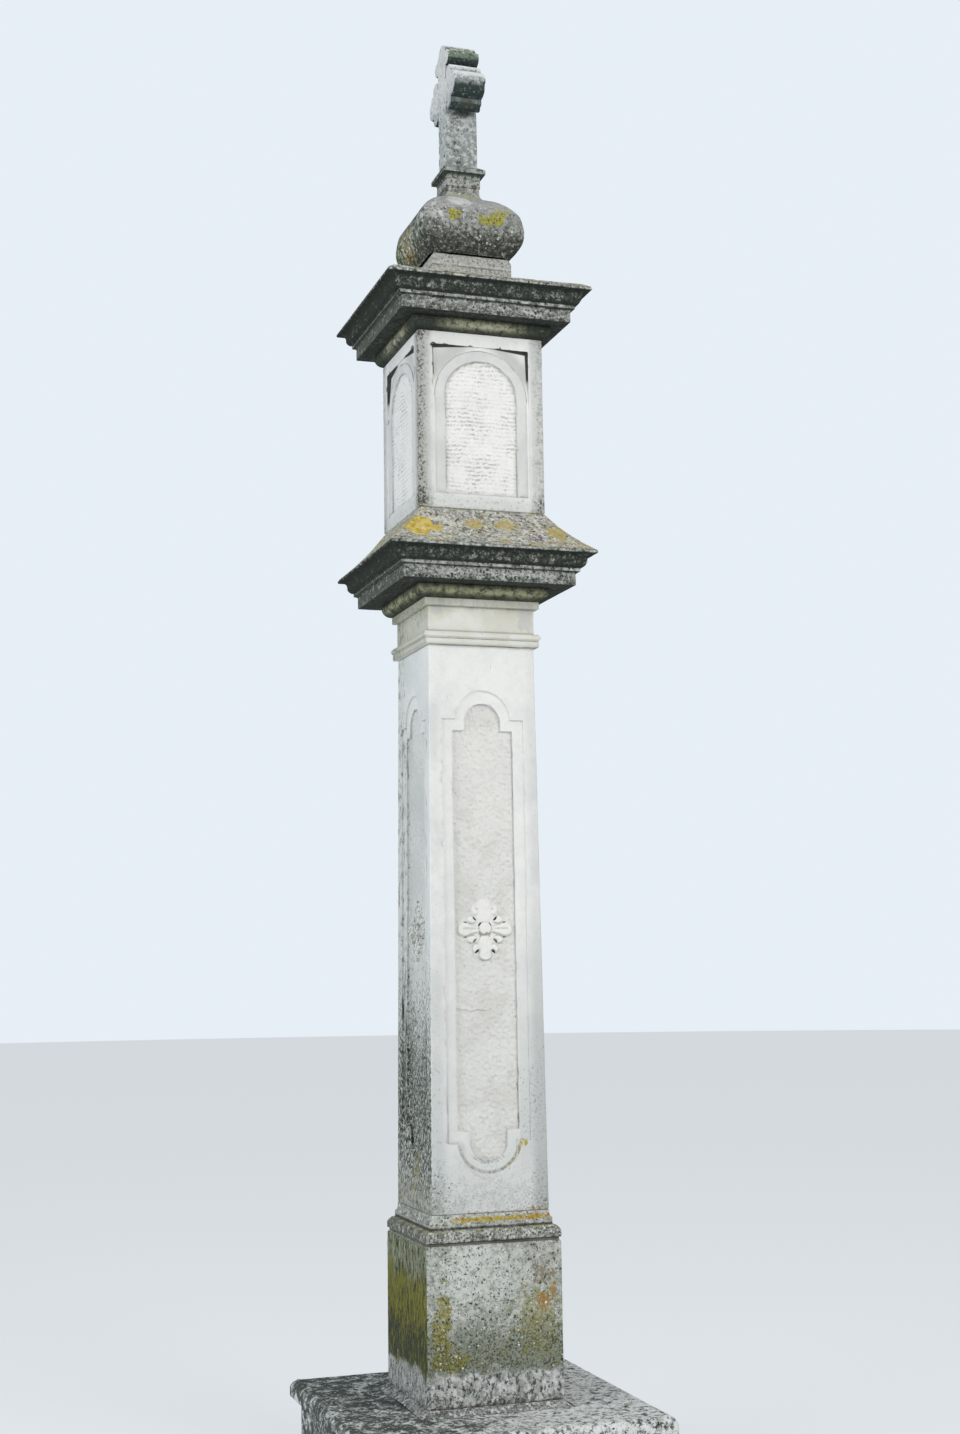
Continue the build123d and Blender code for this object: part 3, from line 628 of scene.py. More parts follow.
right_band = x.rise(0.100, 0.106) * (1 - field) * front * low_down
right_band = right_band * z.rise(SHAFT_FOOT + 0.108, SHAFT_FOOT + 0.248)
stone.stain((0.50, 0.52, 0.51), right_band * 0.46)
stone.growth((0.14, 0.15, 0.13), right_band * 0.30, 0.0090, edge=0.06)
stone.growth((0.36, 0.385, 0.35), stile * 0.14 + low_down * 0.12 + left_foot * 0.16, 0.012, edge=0.08)
stone.growth((0.10, 0.11, 0.095), (near_foot * 0.20 + low_down * 0.08 + left_foot * 0.08 + stile * 0.07)
             * (1 - field * 0.7), 0.0080)
stone.specks((0.08, 0.09, 0.08), 0.0100, low_down * 0.08 + near_foot * 0.12 + foot_edge * 0.16 - field * 0.1)
stone.growth((0.24, 0.25, 0.225), near_foot * 0.22 + foot_edge * 0.14 + low_down * 0.10 - field * 0.06,
             0.0065, strength=0.8)
stone.growth((0.44, 0.46, 0.44), near_foot * 0.40 + low_down * 0.06, 0.018, edge=0.12, strength=0.6)
stone.specks((0.45, 0.44, 0.41), 0.009, 0.10 + field * 0.10, strength=0.45)

stone.stain((0.64, 0.66, 0.64), stone.arris * across.rise(0.165, 0.175) * x.rise(0.0, -0.1) * 0.45)
# Painted shade in the hollow corners of the shaft, stronger low down and broken into patches.
patchy_line = stone.noise(22, detail=5).rise(0.42, 0.60)
stone.stain((0.40, 0.40, 0.37), stone.hollow * (0.06 + low_down * 0.22) * patchy_line)
# Painted shade along the right wall of the sunk field, low on the front, laid as ragged dark growth.
wall_shade_line = stone.hollow * x.near(0.098, 0.008, 0.012) * front * low_down
stone.growth((0.12, 0.12, 0.10), wall_shade_line * 0.46, 0.012, edge=0.08, upright=0.5)
under_centre = (z - BAND_FOOT).least(0.0)
from_centre = x * x + under_centre * under_centre
outer_arc = from_centre.near(0.0102, 0.0006, 0.0016) * z.rise(BAND_FOOT, BAND_FOOT - 0.025) * off_left * front
stone.stain((0.36, 0.36, 0.32), outer_arc * 0.55)
stone.growth((0.14, 0.14, 0.11), outer_arc * 0.42, 0.012, edge=0.10, strength=0.8)
margin = x.near(-0.1325, 0.0010, 0.0030) * z.belt(BAND_FOOT - 0.013, BAND_FOOT - 0.009,
                                                  SHAFT_FOOT + 0.368, SHAFT_FOOT + 0.568)
shoulder = z.near(BAND_FOOT - 0.0105, 0.0010, 0.0030) * x.belt(-0.135, -0.132, -0.104, -0.100)
stone.stain((0.34, 0.35, 0.33), margin.most(shoulder) * front * (0.30 + patchy_line * 0.35))
stone.growth((0.34, 0.28, 0.06), outer_arc * x.rise(0.02, 0.06) * 0.40, 0.012, edge=0.08)
inner_arc = from_centre.near(0.0052, 0.0005, 0.0014) * z.rise(BAND_FOOT - 0.035, BAND_FOOT - 0.055) * off_left
stone.growth((0.16, 0.16, 0.13), inner_arc * front * 0.42, 0.012, edge=0.10, strength=0.8)

left_mustard = stone.patch((-0.191, -0.01, 0.98), (0.04, 0.05, 0.09))
stone.growth((0.24, 0.21, 0.04), left_mustard * 0.44, 0.014, edge=0.10, strength=0.8)
front_mustard = stone.patch((0.112, -0.185, 1.062), (0.016, 0.03, 0.012))
stone.growth((0.44, 0.34, 0.05), front_mustard * 0.52, 0.008)
front_foot_line = z.rise(SHAFT_FOOT + 0.010, SHAFT_FOOT + 0.002) * near_front * x.rise(-0.19, -0.04)
stone.growth((0.36, 0.29, 0.04), front_foot_line * 0.46, 0.009, edge=0.08)
rusty_foot = z.rise(SHAFT_FOOT + 0.033, SHAFT_FOOT + 0.008) * near_front * x.rise(0.06, 0.14)
stone.growth((0.28, 0.18, 0.11), rusty_foot * 0.46, 0.010)
wavy_level = z + (stone.noise(9, detail=5) - 0.5) * 0.05
crack = wavy_level.near(SHAFT_FOOT + 0.615, 0.0008, 0.0025) * field * x.rise(0.05, -0.04)
crack = crack * stone.back.rise(-0.5, -0.9)
stone.stain((0.46, 0.45, 0.41), crack * 0.20)
dimples = stone.node("ShaderNodeTexVoronoi", {"feature": "SMOOTH_F1"},
                     {"Vector": stone.spread(), "Scale": 78.0})
hammered = stone.noise(26, detail=8, rough=0.75)
stone.height = stone.height + dimples * field * 2.2 + hammered * field * 3.2 - crack * 0.8
stone.close(depth=0.0035)

shaft = cut_stone("shaft", spacing=0.0082, arris=0.005, edge=0.002)
for corner in shaft.verts:
    side_on, face_on = sorted((abs(corner.co.x), abs(corner.co.y)))
    if abs(shaft_half(corner.co.z) - face_on - FIELD_DEPTH) < 0.0008 and side_on < FIELD_HALF:
        blow = max(0.0, noise.noise(corner.co * 52.0)) + 0.6 * max(0.0, noise.noise(corner.co * 90.0))
        across_x = abs(corner.co.x) == face_on
        outward = Vector((corner.co.x, 0, 0)) if across_x else Vector((0, corner.co.y, 0))
        corner.co -= outward.normalized() * min(DEEPEST_MARK, HAMMER_MARK * blow)
weather(shaft, "shaft", dent=0.0012, chip=0.006)
lay_stone(shaft, "shaft", stone)

# Rosettes: one on the field of each face, carved with the shaft from the same stone. Four leaves of
# three lobes lie round a domed boss, and drilled holes part the leaves and the lobes.
ROSETTE_LEVEL = 1.7185
ROSETTE_BACK = 0.024
# The relief is worked out in millimetres, on a net of 2 mm. Each hole has a middle and a radius.
ROSETTE_HALF = 97
BURIED = -4.0
NEARBY = ((-3, 0), (3, 0), (0, -3), (0, 3), (-2, -2), (2, 2), (-2, 2), (2, -2))
DRILLED = (((35, 33), 8.0), ((27, 68), 7.0), ((15, 19), 4.0))


def carve_height(x, z):
    """Height of the carving over the field at a point of the rosette, in millimetres."""
    across, along = sorted((abs(x), abs(z)))
    on_side = abs(x) > abs(z)
    if on_side:
        lobes = (((0, 50), (15, 32), 7.5), ((0, 70), (24, 27), 9.0), ((31, 46), (12, 19), 8.5))
    else:
        lobes = (((0, 50), (25, 32), 7.5), ((0, 78), (20, 19), 9.0), ((29, 60), (13, 15), 8.5))
    reached = along * (1.08 if on_side else 1.0)
    raised = 0.9 if math.hypot(x, z) < 48 or drill_share(x, z) > 0 else BURIED
    for middle, reach, rise in lobes:
        share = 1 - ((across - middle[0]) / reach[0]) ** 2 - ((reached - middle[1]) / reach[1]) ** 2
        if share > -0.45:
            raised = max(raised, 0.9, rise * min(1.0, max(0.0, share) * 1.8) ** 0.6)
    if raised > 1.0:
        tip_curl = math.exp(-(((math.hypot(across, reached - 76) - 17) / 3.0) ** 2)) * (reached > 84)
        midrib = math.exp(-((((z - 2) if on_side else across) / 3.4) ** 2)) * (20 < along < 74)
        side_vein = math.exp(-(((across - 10 - (along - 30) * 0.36) / 2.8) ** 2)) * (28 < along < 64)
        raised += 3.4 * tip_curl + (-3.6 if on_side else 1.4) * midrib - 3.4 * side_vein * on_side
        raised = raised * (0.45 if z > abs(x) else 1.0)
    raised = max(raised - 9.0 * drill_share(x, z), 0.8) if raised > 0 else raised
    from_boss = math.hypot(x, z - 4) / 19
    return max(raised, 8 + 3.6 * (1 - from_boss ** 2) ** 0.8) if from_boss < 1 else raised


def drill_share(x, z):
    """How far a point lies inside a drilled hole, up to 1 at its middle. The holes are longer along
    the diagonal; those in the worn upper leaf and at the tips of the side leaves are shallow."""
    across, along = sorted((abs(x), abs(z)))
    shares = []
    for middle, radius in DRILLED:
        step, side_step = along - middle[1] + across - middle[0], along - middle[1] - across + middle[0]
        shares.append(2.6 * (1 - math.hypot(step * 0.50, side_step * 0.90) / radius))
    shallow = along > 54 and (z > 0 or abs(x) > abs(z))
    return max(0.0, min(1.0, max(shares))) * (0.5 if shallow else 1.0)


stone = StoneFinish("rosette_stone", PALE, PALE_SHADE)
stone.specks((0.40, 0.39, 0.35), 0.008, 0.14, strength=0.5)
stone.stain((0.64, 0.63, 0.58), 0.28)
# Painted shade, with some dirt, in the hollows round the lobes, stronger on the lower side, and near-black
# painted shade in the drilled holes.
patchy_edge = stone.noise(34, detail=3).rise(0.38, 0.58)
lower_side = stone.z.rise(ROSETTE_LEVEL + 0.02, ROSETTE_LEVEL - 0.02)
stone.stain((0.17, 0.165, 0.13), stone.hollow * (0.20 + lower_side * 0.34 + patchy_edge * 0.30))
stone.stain((0.014, 0.014, 0.011), stone.hollow.rise(0.62, 0.88) * (0.75 + patchy_edge * 0.22))
# Painted highlight on the ridges and rims of the leaves.
stone.stain((0.90, 0.89, 0.84), stone.arris * 0.6)
on_left = stone.x.rise(-0.140, -0.160)
stone.stain((0.46, 0.48, 0.45), on_left * 0.45)
stone.growth((0.12, 0.13, 0.11), on_left * 0.41, 0.010, edge=0.06)
# Painted shade on the faces of the carving that look down.
stone.stain((0.50, 0.49, 0.43), stone.up.rise(-0.1, -0.7) * 0.45)
# Olive-dark patch just below the boss.
olive_under_boss = stone.patch((0.004, -0.19, ROSETTE_LEVEL - 0.0125), (0.010, 0.03, 0.008), 0.4)
stone.stain((0.16, 0.15, 0.06), olive_under_boss * 0.6)
stone.close(depth=0.002)

relief = {}
for column in range(ROSETTE_HALF + 1):
    for row in range(ROSETTE_HALF + 1):
        relief[column, row] = carve_height(column * 2 - ROSETTE_HALF, row * 2 - ROSETTE_HALF)
for turn, node in enumerate(("rosette_front", "rosette_right", "rosette_back", "rosette_left")):
    flower = bmesh.new()
    # The layer comes before the grid, because a new layer makes the points in hand invalid.
    bend = flower.verts.layers.float.new("bend")
    bmesh.ops.create_grid(flower, x_segments=ROSETTE_HALF, y_segments=ROSETTE_HALF, size=ROSETTE_HALF / 1000)
    bmesh.ops.rotate(flower, verts=flower.verts, matrix=Matrix.Rotation(math.radians(90), 3, "X"))
    for corner in flower.verts:
        spot = tuple(round((place * 1000 + ROSETTE_HALF) / 2) for place in (corner.co.x, corner.co.z))
        height = relief[spot]
        around = [max(0.9, relief.get((spot[0] + step_x, spot[1] + step_z), height))
                  for step_x, step_z in NEARBY]
        drilled = drill_share(corner.co.x * 1000, corner.co.z * 1000)
        corner[bend] = max(-1.0, min(0.9, (height - sum(around) / 8) / 2.3)) * 0.60 - drilled * 0.55
        grain = 0.5 + 0.5 * noise.noise(corner.co * 60.0 + Vector((turn * 3.3, 1.7, 2.9)))
        corner.co.z += ROSETTE_LEVEL
        roughness = 0.0016 * grain if height > 0 else 0
        corner.co.y = FIELD_DEPTH - shaft_half(corner.co.z) - height / 1000 + roughness
        corner.tag = height <= BURIED + 0.01
    buried = [side for side in flower.faces if all(corner.tag for corner in side.verts)]
    bmesh.ops.delete(flower, geom=buried, context="FACES")
    rim = [rib for rib in flower.edges if rib.is_boundary]
    back = bmesh.ops.extrude_edge_only(flower, edges=rim)["geom"]
    back_ribs = [part for part in back if isinstance(part, bmesh.types.BMEdge) and part.is_boundary]
    for corner in [part for part in back if isinstance(part, bmesh.types.BMVert)]:
        corner.co.y = ROSETTE_BACK - SHAFT_HEAD_HALF
    bmesh.ops.contextual_create(flower, geom=back_ribs)
    bmesh.ops.rotate(flower, verts=flower.verts, matrix=Matrix.Rotation(math.radians(90 * turn), 3, "Z"))
    bmesh.ops.recalc_face_normals(flower, faces=flower.faces)
    mark_creases(flower)
    lay_stone(flower, node, stone)

# Head of the shaft: fillet and bead, plain neck and its band, all pale, with olive stains that
# run down from the cornice, painted shadow of the cornice across the top of the neck, and painted
# shade in the creases by the bead.
BEAD_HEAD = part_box("astragal")[1][2]
NECK_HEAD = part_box("neck_fillet")[1][2]
stone = StoneFinish("neck_stone", PALE, PALE_SHADE)
z, left = stone.z, stone.left
under_cornice = z.rise(NECK_HEAD - 0.100, NECK_HEAD - 0.005)
at_corner = stone.across.rise(0.06, 0.17)
blotches = stone.noise(10, detail=5).rise(0.40, 0.62)
cream = 0.44 + blotches * (0.34 + under_cornice * 0.30 + at_corner * under_cornice * 0.3)
stone.stain((0.62, 0.61, 0.53), cream)
# Painted shadow of the cornice over the top of the neck, tinted olive, and olive grey on the left face.
stone.stain((0.34, 0.35, 0.27), under_cornice.rise(0.5, 1.0) * (0.34 + at_corner * 0.15) + left * 0.48)
stone.growth((0.30, 0.31, 0.24), under_cornice * 0.28 + left * 0.20, 0.030, edge=0.16, upright=0.5)
left_back = left * stone.y.rise(-0.06, 0.16)
stone.stain((0.26, 0.29, 0.23), left_back * 0.36)
stone.growth((0.12, 0.14, 0.10), left_back * 0.40, 0.018, edge=0.10)
stone.growth((0.15, 0.16, 0.12), under_cornice * 0.14 + left * 0.18, 0.010)
washed = stone.patches(0.8, ((0.152, -0.19, NECK_HEAD - 0.058), (0.034, 0.05, 0.045)),
                       ((-0.150, -0.19, NECK_HEAD - 0.035), (0.026, 0.05, 0.026)))
stone.stain((0.46, 0.45, 0.46), washed * 0.50)
# Painted shade in the creases over and under the bead, stronger on the left face, and in hollow corners.
bead_shade_lines = z.near(BEAD_HEAD + 0.0015, 0.002, 0.005).most(z.near(BEAD_HEAD - 0.020, 0.0015, 0.004) * 0.6)
stone.stain((0.20, 0.20, 0.15), (bead_shade_lines * (0.35 + left * 0.35)).most(stone.hollow * 0.55))
stone.close(depth=0.003)
for node in ("astragal", "neck", "neck_fillet"):
    lay_course(node, stone, spacing=0.0085, arris=0.002, edge=0.0012, dent=0.0010, chip=0.003)


# Cornices: two moulded courses each of ovolo, drip stone and cyma. Rain never washes their
# hollows and undersides, so soot and algae blacken them, and painted shade darkens them further;
# the upright face above the drip stays grey.
def cornice_finish(name, ovolo_tint, ovolo_reach, soffit, cyma_foot, top):
    """Cornice stone, with its growth and its painted shade laid by the levels of its mouldings."""
    finish = StoneFinish(name, (0.34, 0.355, 0.32), (0.22, 0.23, 0.20))
    z, left, across = finish.z, finish.left, finish.across
    beneath = z.rise(soffit + 0.0015, soffit - 0.0015)
    cyma = z.rise(cyma_foot - 0.001, cyma_foot + 0.004)
    edge = z.rise(top - 0.012, top - 0.008)
    face = (1 - beneath) * (1 - cyma)
    low_face = z.rise(soffit + 0.022, soffit + 0.002) * face
    line = z.rise(cyma_foot - 0.009, cyma_foot - 0.006) * face
    far_end = across.rise(0.10, 0.26)
    dark_end = across.rise(ovolo_reach - 0.07, ovolo_reach + 0.02) * beneath
    grey_face = face * (1 - low_face * 0.6) * (0.9 - left * 0.6)
    finish.stain((0.50, 0.51, 0.48), grey_face.most(edge * 0.9).most(line))
    finish.stain((0.26, 0.26, 0.14), beneath * 0.90)
    tinted = across.rise(ovolo_reach, ovolo_reach - 0.12) * beneath * z.rise(soffit, soffit - 0.022)
    finish.stain(ovolo_tint, tinted * 0.8)
    drift = finish.noise(4, detail=2).rise(0.40, 0.62)
    cover = 0.62 + cyma * 0.17 - face * 0.34 + low_face * 0.22 + left * (0.34 - beneath * 0.26)
    cover = cover - beneath * (0.30 - far_end * 0.14) - edge * 0.36 + far_end * 0.04 + dark_end * 0.22
    finish.growth(DARK, cover + drift * 0.10, 0.030, edge=0.12)
    cover = 0.46 + cyma * 0.12 - face * 0.04 + low_face * 0.18 + left * (0.22 - beneath * 0.18)
    cover = cover - beneath * 0.28 - edge * 0.12 + far_end * 0.02 + dark_end * 0.22
    finish.growth(SOOT_AND_SHADE, cover, 0.0090, edge=0.08)
    finish.growth((0.08, 0.09, 0.075), face * (0.46 + left * 0.30), 0.055, edge=0.10, rough=0.8)
    cover = 0.27 + face * 0.11 - left * 0.13 + edge * 0.16 - beneath * 0.10
    finish.growth((0.60, 0.62, 0.58), cover, 0.018, edge=0.12, rough=0.8, lift=0.3)
    finish.specks((0.05, 0.06, 0.045), 0.0105, 0.36 + face * 0.14 - beneath * 0.2)
    finish.specks((0.62, 0.64, 0.60), 0.0095, 0.12 + face * 0.06 - beneath * 0.12 + edge * 0.1)
    finish.growth((0.07, 0.08, 0.055), beneath * 0.36, 0.020, edge=0.08)
    # Soot with painted shade on faces that look down, under the drip and in hollow corners; the same black
    # darkens the ends of the ovolo.
    hanging = finish.up.rise(-0.4, -0.9)
    under_drip = z.rise(soffit - 0.014, soffit - 0.003) * beneath
    shade_and_soot = (hanging * 0.85).most(finish.hollow * 0.45)
    finish.stain(SOOT_AND_SHADE, shade_and_soot.most(under_drip * 0.55).most(dark_end * 0.50))
    finish.close(depth=0.004)
    return finish


for storey, tint, pale_reach in (("lower", (0.42, 0.425, 0.25), 0.26), ("upper", (0.44, 0.44, 0.32), 0.16)):
    levels = [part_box(f"{storey}_{part}")[0][2] for part in ("corona", "cyma", "weathering")]
    stone = cornice_finish(storey + "_cornice_stone", tint, pale_reach, *levels)
    for part in ("ovolo", "corona", "cyma"):
        lay_course(f"{storey}_{part}", stone, spacing=0.0095, arris=0.004, edge=0.0022,
                   dent=0.0016, chip=0.007)

# Sloping tops of the cornices: rain and light reach them, so grey, tan and mustard lichen
# cover the stone, with one solid mustard patch on the left of the lower one.
SLOPE_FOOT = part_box("lower_weathering")[0][2]
stone = StoneFinish("slope_stone", (0.56, 0.555, 0.49), (0.39, 0.385, 0.32))
stone.growth((0.50, 0.43, 0.23), 0.42, 0.07, edge=0.14)
stone.growth((0.19, 0.185, 0.17), 0.38, 0.034, edge=0.12, rough=0.8, upright=1.5)
stone.growth((0.76, 0.76, 0.73), 0.46, 0.022, edge=0.12, lift=0.4, rough=0.8, upright=1.5)
stone.growth((0.12, 0.125, 0.11), 0.33, 0.050, edge=0.12, rough=0.8, upright=1.8)
stone.growth((0.84, 0.84, 0.81), 0.36, 0.012, edge=0.06)
stone.growth((0.045, 0.05, 0.04), 0.37, 0.012, upright=1.3)
stone.specks((0.05, 0.05, 0.045), 0.0120, 0.26)
tan_places = stone.patches(1.2, ((-0.046, -0.27, SLOPE_FOOT + 0.080), (0.050, 0.10, 0.030)),
                           ((0.066, -0.27, SLOPE_FOOT + 0.084), (0.050, 0.10, 0.030)),
                           ((0.235, -0.27, SLOPE_FOOT + 0.064), (0.050, 0.10, 0.034)))
tan_places = tan_places.most(stone.noise(7, detail=3).rise(0.54, 0.64) * stone.back.rise(-0.5, 0.2))
drift = stone.noise(8, detail=5).rise(0.46, 0.60)
stone.growth((0.46, 0.39, 0.16), drift * 0.46, 0.018, edge=0.12, rough=0.8)
stone.growth((0.52, 0.41, 0.13), tan_places * 0.60, 0.020, edge=0.12, rough=0.8)
purple = stone.patch((0.150, -0.29, SLOPE_FOOT + 0.031), (0.035, 0.10, 0.022), 1.2)
stone.growth((0.15, 0.11, 0.17), purple * 0.48, 0.012)
mustard = stone.patch((-0.232, -0.29, SLOPE_FOOT + 0.061), (0.080, 0.12, 0.044), 0.7)
stone.growth((0.74, 0.56, 0.10), mustard * 0.95, 0.022, edge=0.10, lift=0.4)
stone.growth((0.80, 0.76, 0.58), mustard * 0.40, 0.011, edge=0.08)
stone.growth((0.52, 0.33, 0.03), mustard * 0.42, 0.026, edge=0.10)
stone.close(depth=0.005)
for node in ("lower_weathering", "upper_weathering"):
    lay_course(node, stone, spacing=0.0095, arris=0.004, edge=0.002, dent=0.0022, chip=0.006)

# Block with the arched panels: fine pale stone, one carved face after another. The triangles over
# each arch are cut as sloping planes, deep in the outer corner and flush at crown and springing.
BLOCK_HALF = 0.213
BLOCK_FOOT, BLOCK_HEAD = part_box("panel_block")[0][2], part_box("panel_block")[1][2]
SPRINGING = BLOCK_FOOT + 0.372
OPENING_HEAD = BLOCK_FOOT + 0.541
OPENING_HALF = 0.1625
ARCH_RADIUS = 0.157
NICHE_RADIUS = 0.1225
BAND_DEPTH = 0.003
CORNER_DEPTH = 0.015
stone = StoneFinish("panel_block_stone", PALE, PALE_SHADE)
x, y, z, across = stone.x, stone.y, stone.z, stone.across
depth = BLOCK_HALF - stone.reach
over_springing = (z - SPRINGING).most(0.0)
from_centre = across * across + over_springing * over_springing


def inside_arch(radius):
    """1 inside an arch and 0 outside it, with an edge 2 mm wide."""
    return from_centre.rise((radius + 0.001) ** 2, (radius - 0.001) ** 2)


def arch_line(radius, inside, outside):
    """Soft line that follows an arch."""
    return from_centre.belt(*[(radius + step) ** 2 for step in (-outside, -inside, inside, outside)])


in_opening = depth.rise(0.0016, 0.0026)
niche = depth.rise(0.0050, 0.0070) * inside_arch(NICHE_RADIUS)
ring = in_opening * (1 - niche) * inside_arch(ARCH_RADIUS)
outer = across.rise(0.158, 0.180)
near_arris = across.rise(0.165, 0.205)
left_arris = near_arris * x.rise(-0.10, -0.15) * y.rise(-0.10, -0.15)
# Top strip under the cornice: its share of the grey is painted shadow of the cornice, its growth lichen.
ceiling = z.rise(BLOCK_HEAD - 0.044, BLOCK_HEAD)
sill = z.rise(BLOCK_FOOT + 0.077, BLOCK_FOOT + 0.022)
cloudy = stone.noise(7).rise(0.42, 0.64)
greyed = outer * 0.66 + ring * 0.40 + ceiling * 0.24 + sill * 0.48 + 0.10 - niche * 0.1
stone.stain((0.53, 0.54, 0.525), greyed.least(0.88))
clouded = cloudy * (0.22 + outer * 0.30 + ring * 0.10 - niche * 0.20)
stone.stain((0.46, 0.48, 0.475), clouded + stone.left * 0.28)
stone.stain((0.34, 0.33, 0.29), left_arris * 0.50 + near_arris * 0.10)
stone.stain((0.86, 0.845, 0.81), niche * 0.35)
grown = outer * 0.20 + near_arris * 0.24 + ceiling * 0.22 + sill * 0.26 + left_arris * 0.10
stone.growth((0.36, 0.375, 0.345), grown, 0.014, edge=0.10)
grown = near_arris * 0.26 + left_arris * 0.17 + sill * 0.20 + ceiling * 0.12
stone.growth((0.075, 0.075, 0.060), grown, 0.0076)
foot_line = z.rise(BLOCK_FOOT + 0.022, BLOCK_FOOT + 0.002)
stone.growth((0.42, 0.38, 0.29), foot_line * 0.36 + left_arris * 0.22, 0.012, edge=0.08)
stone.specks((0.30, 0.30, 0.28), 0.0100, 0.13 + outer * 0.10, strength=0.6)
rows = ((z - BLOCK_FOOT) * 74 + (stone.noise(14) - 0.5) * 1.8).part().near(0.5, 0.06, 0.50)
worn_marks = stone.noise(170, detail=5, rough=0.75, level=0.9).rise(0.47, 0.62) * rows * niche
worn_marks = worn_marks * (0.35 + stone.noise(11, detail=3).rise(0.40, 0.60) * 0.65)
stone.stain((0.32, 0.31, 0.28), worn_marks * 0.62)
stone.specks((0.55, 0.54, 0.50), 0.0100, niche * 0.20, strength=0.4)
# Painted shade, with some dirt, in the hollow corners of the arch ring and the niche.
hollow_line = stone.hollow * (0.34 + stone.noise(12).rise(0.40, 0.60) * 0.46)
stone.stain((0.30, 0.31, 0.29), hollow_line * ring.most(niche))
# Painted shadow lines, with some dirt, along the edges of the niche and the arch above the springing.
above = z.rise(SPRINGING - 0.06, SPRINGING + 0.04)
arch_lines = arch_line(NICHE_RADIUS + 0.00075, 0.00065, 0.00195)
arch_lines = arch_lines.most(arch_line(ARCH_RADIUS, 0.0006, 0.0018) * 0.8)
stone.stain((0.30, 0.30, 0.275), arch_lines * above * stone.noise(16).rise(0.34, 0.58) * 0.80)
# Painted shadow in each sunk triangle: a dark wedge under the frame's upper edge, deepest at the outer
# corner, and a thin dark strip down its upright edge.
from_corner = (OPENING_HALF - across).most(0.0)
wedge_shadow = (z - OPENING_HEAD + 0.0095 - from_corner * 0.085).rise(-0.0012, 0.0012)
upright = (across - OPENING_HALF + 0.0050).rise(-0.0010, 0.0010)
upright = upright * z.rise(OPENING_HEAD - 0.110, OPENING_HEAD - 0.090)
corner_share = (across + z - SPRINGING) * (1 / ARCH_RADIUS) - 1
spandrel = in_opening * from_centre.rise(0.1565 ** 2, 0.1580 ** 2)
# Brownish-grey painted shade across the middle of each sunk triangle, toward its deep corner.
stone.stain((0.34, 0.335, 0.31), corner_share.belt(0.10, 0.50, 0.60, 0.95) * spandrel * 0.45)
stone.stain((0.030, 0.035, 0.026), wedge_shadow.most(upright) * spandrel * 0.94)
stone.height = stone.height - worn_marks * 0.4
stone.close(depth=0.003)

block = cut_stone("panel_block", spacing=0.008, arris=0.005, edge=0.0008)
for side in range(4):
    outward = Matrix.Rotation(math.radians(90 * side), 3, "Z") @ Vector((0, -1, 0))
    sideways = Vector((-outward.y, outward.x, 0))
    for corner in block.verts:
        sidestep, height = abs(corner.co.dot(sideways)), corner.co.z - SPRINGING
        sunk = BLOCK_HALF - corner.co.dot(outward)
        if abs(sunk - CORNER_DEPTH) < 0.0009 and height > -0.001 and sidestep < OPENING_HALF + 0.0005:
            share = max(0.0, min(1.0, sidestep / ARCH_RADIUS + height / ARCH_RADIUS - 1))
            corner.co += outward * (CORNER_DEPTH - BAND_DEPTH) * (1 - share)
weather(block, "panel_block", dent=0.0009, chip=0.006)
lay_stone(block, "panel_block", stone)

# Finial: plinth, neck and onion, cut from darker stone and thick with lichen, yellow on the
# shoulders and dark under the swell, where painted shade blackens it further; painted light lies on
# the upper swell. This finish serves all three.
ONION_FOOT, ONION_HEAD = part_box("finial_onion")[0][2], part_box("finial_onion")[1][2]
ONION_SWELL = ((3.942, 0.138), (3.968, 0.161), (3.998, 0.179), (4.035, 0.183), (4.079, 0.175),
               (4.100, 0.163), (4.124, 0.142), (4.145, 0.115), (4.158, 0.090), (4.170, 0.070),
               (4.186, 0.061), (4.209, 0.0595))
ONION_HIP = 0.036
stone = StoneFinish("finial_stone", (0.44, 0.45, 0.43), (0.31, 0.32, 0.30))
y, z, up = stone.y, stone.z, stone.up
belly = up.rise(0.10, -0.6)
swell = z.belt(ONION_FOOT, ONION_FOOT + 0.004, ONION_HEAD - 0.009, ONION_HEAD + 0.031)
off_swell = 1 - swell
flank = (stone.right * -1).rise(0.15, 1.0) * swell
stone.stain((0.50, 0.49, 0.45), off_swell * 0.7)
stone.growth((0.12, 0.13, 0.105), 0.22 + swell * 0.24 + belly * 0.24 + flank * 0.10, 0.026, edge=0.12)
near_neck = z.rise(ONION_HEAD - 0.049, ONION_HEAD - 0.009)
stone.growth((0.12, 0.125, 0.11), off_swell * (0.45 + near_neck * 0.03), 0.0080, edge=0.08)
stone.stain((0.62, 0.62, 0.59), off_swell * z.rise(ONION_FOOT + 0.018, ONION_FOOT - 0.002) * 0.35)
stone.growth((0.045, 0.05, 0.04), 0.32 + swell * 0.04 + belly * 0.20, 0.0105, edge=0.06)
stone.growth((0.60, 0.61, 0.58), 0.28 + swell * 0.04, 0.014, edge=0.06, lift=0.3)
stone.specks((0.74, 0.75, 0.71), 0.0120, 0.10 + swell * 0.24 - belly * 0.04, lift=0.4)
yellow = stone.patches(1.1, ((0.066, -0.175, 4.062), (0.060, 0.08, 0.042)),
                       ((-0.072, -0.175, 4.058), (0.028, 0.08, 0.028)),
                       ((0.110, -0.16, 4.095), (0.022, 0.06, 0.016)),
                       ((0.0, -0.08, 4.168), (0.10, 0.06, 0.014)))
wander = stone.noise(9, detail=3).rise(0.52, 0.62) * stone.back.rise(-0.2, 0.3)
stone.growth((0.30, 0.28, 0.05), yellow.most(wander * 0.7) * 0.66 - 0.02, 0.026, edge=0.16, rough=0.8,
             strength=0.85)
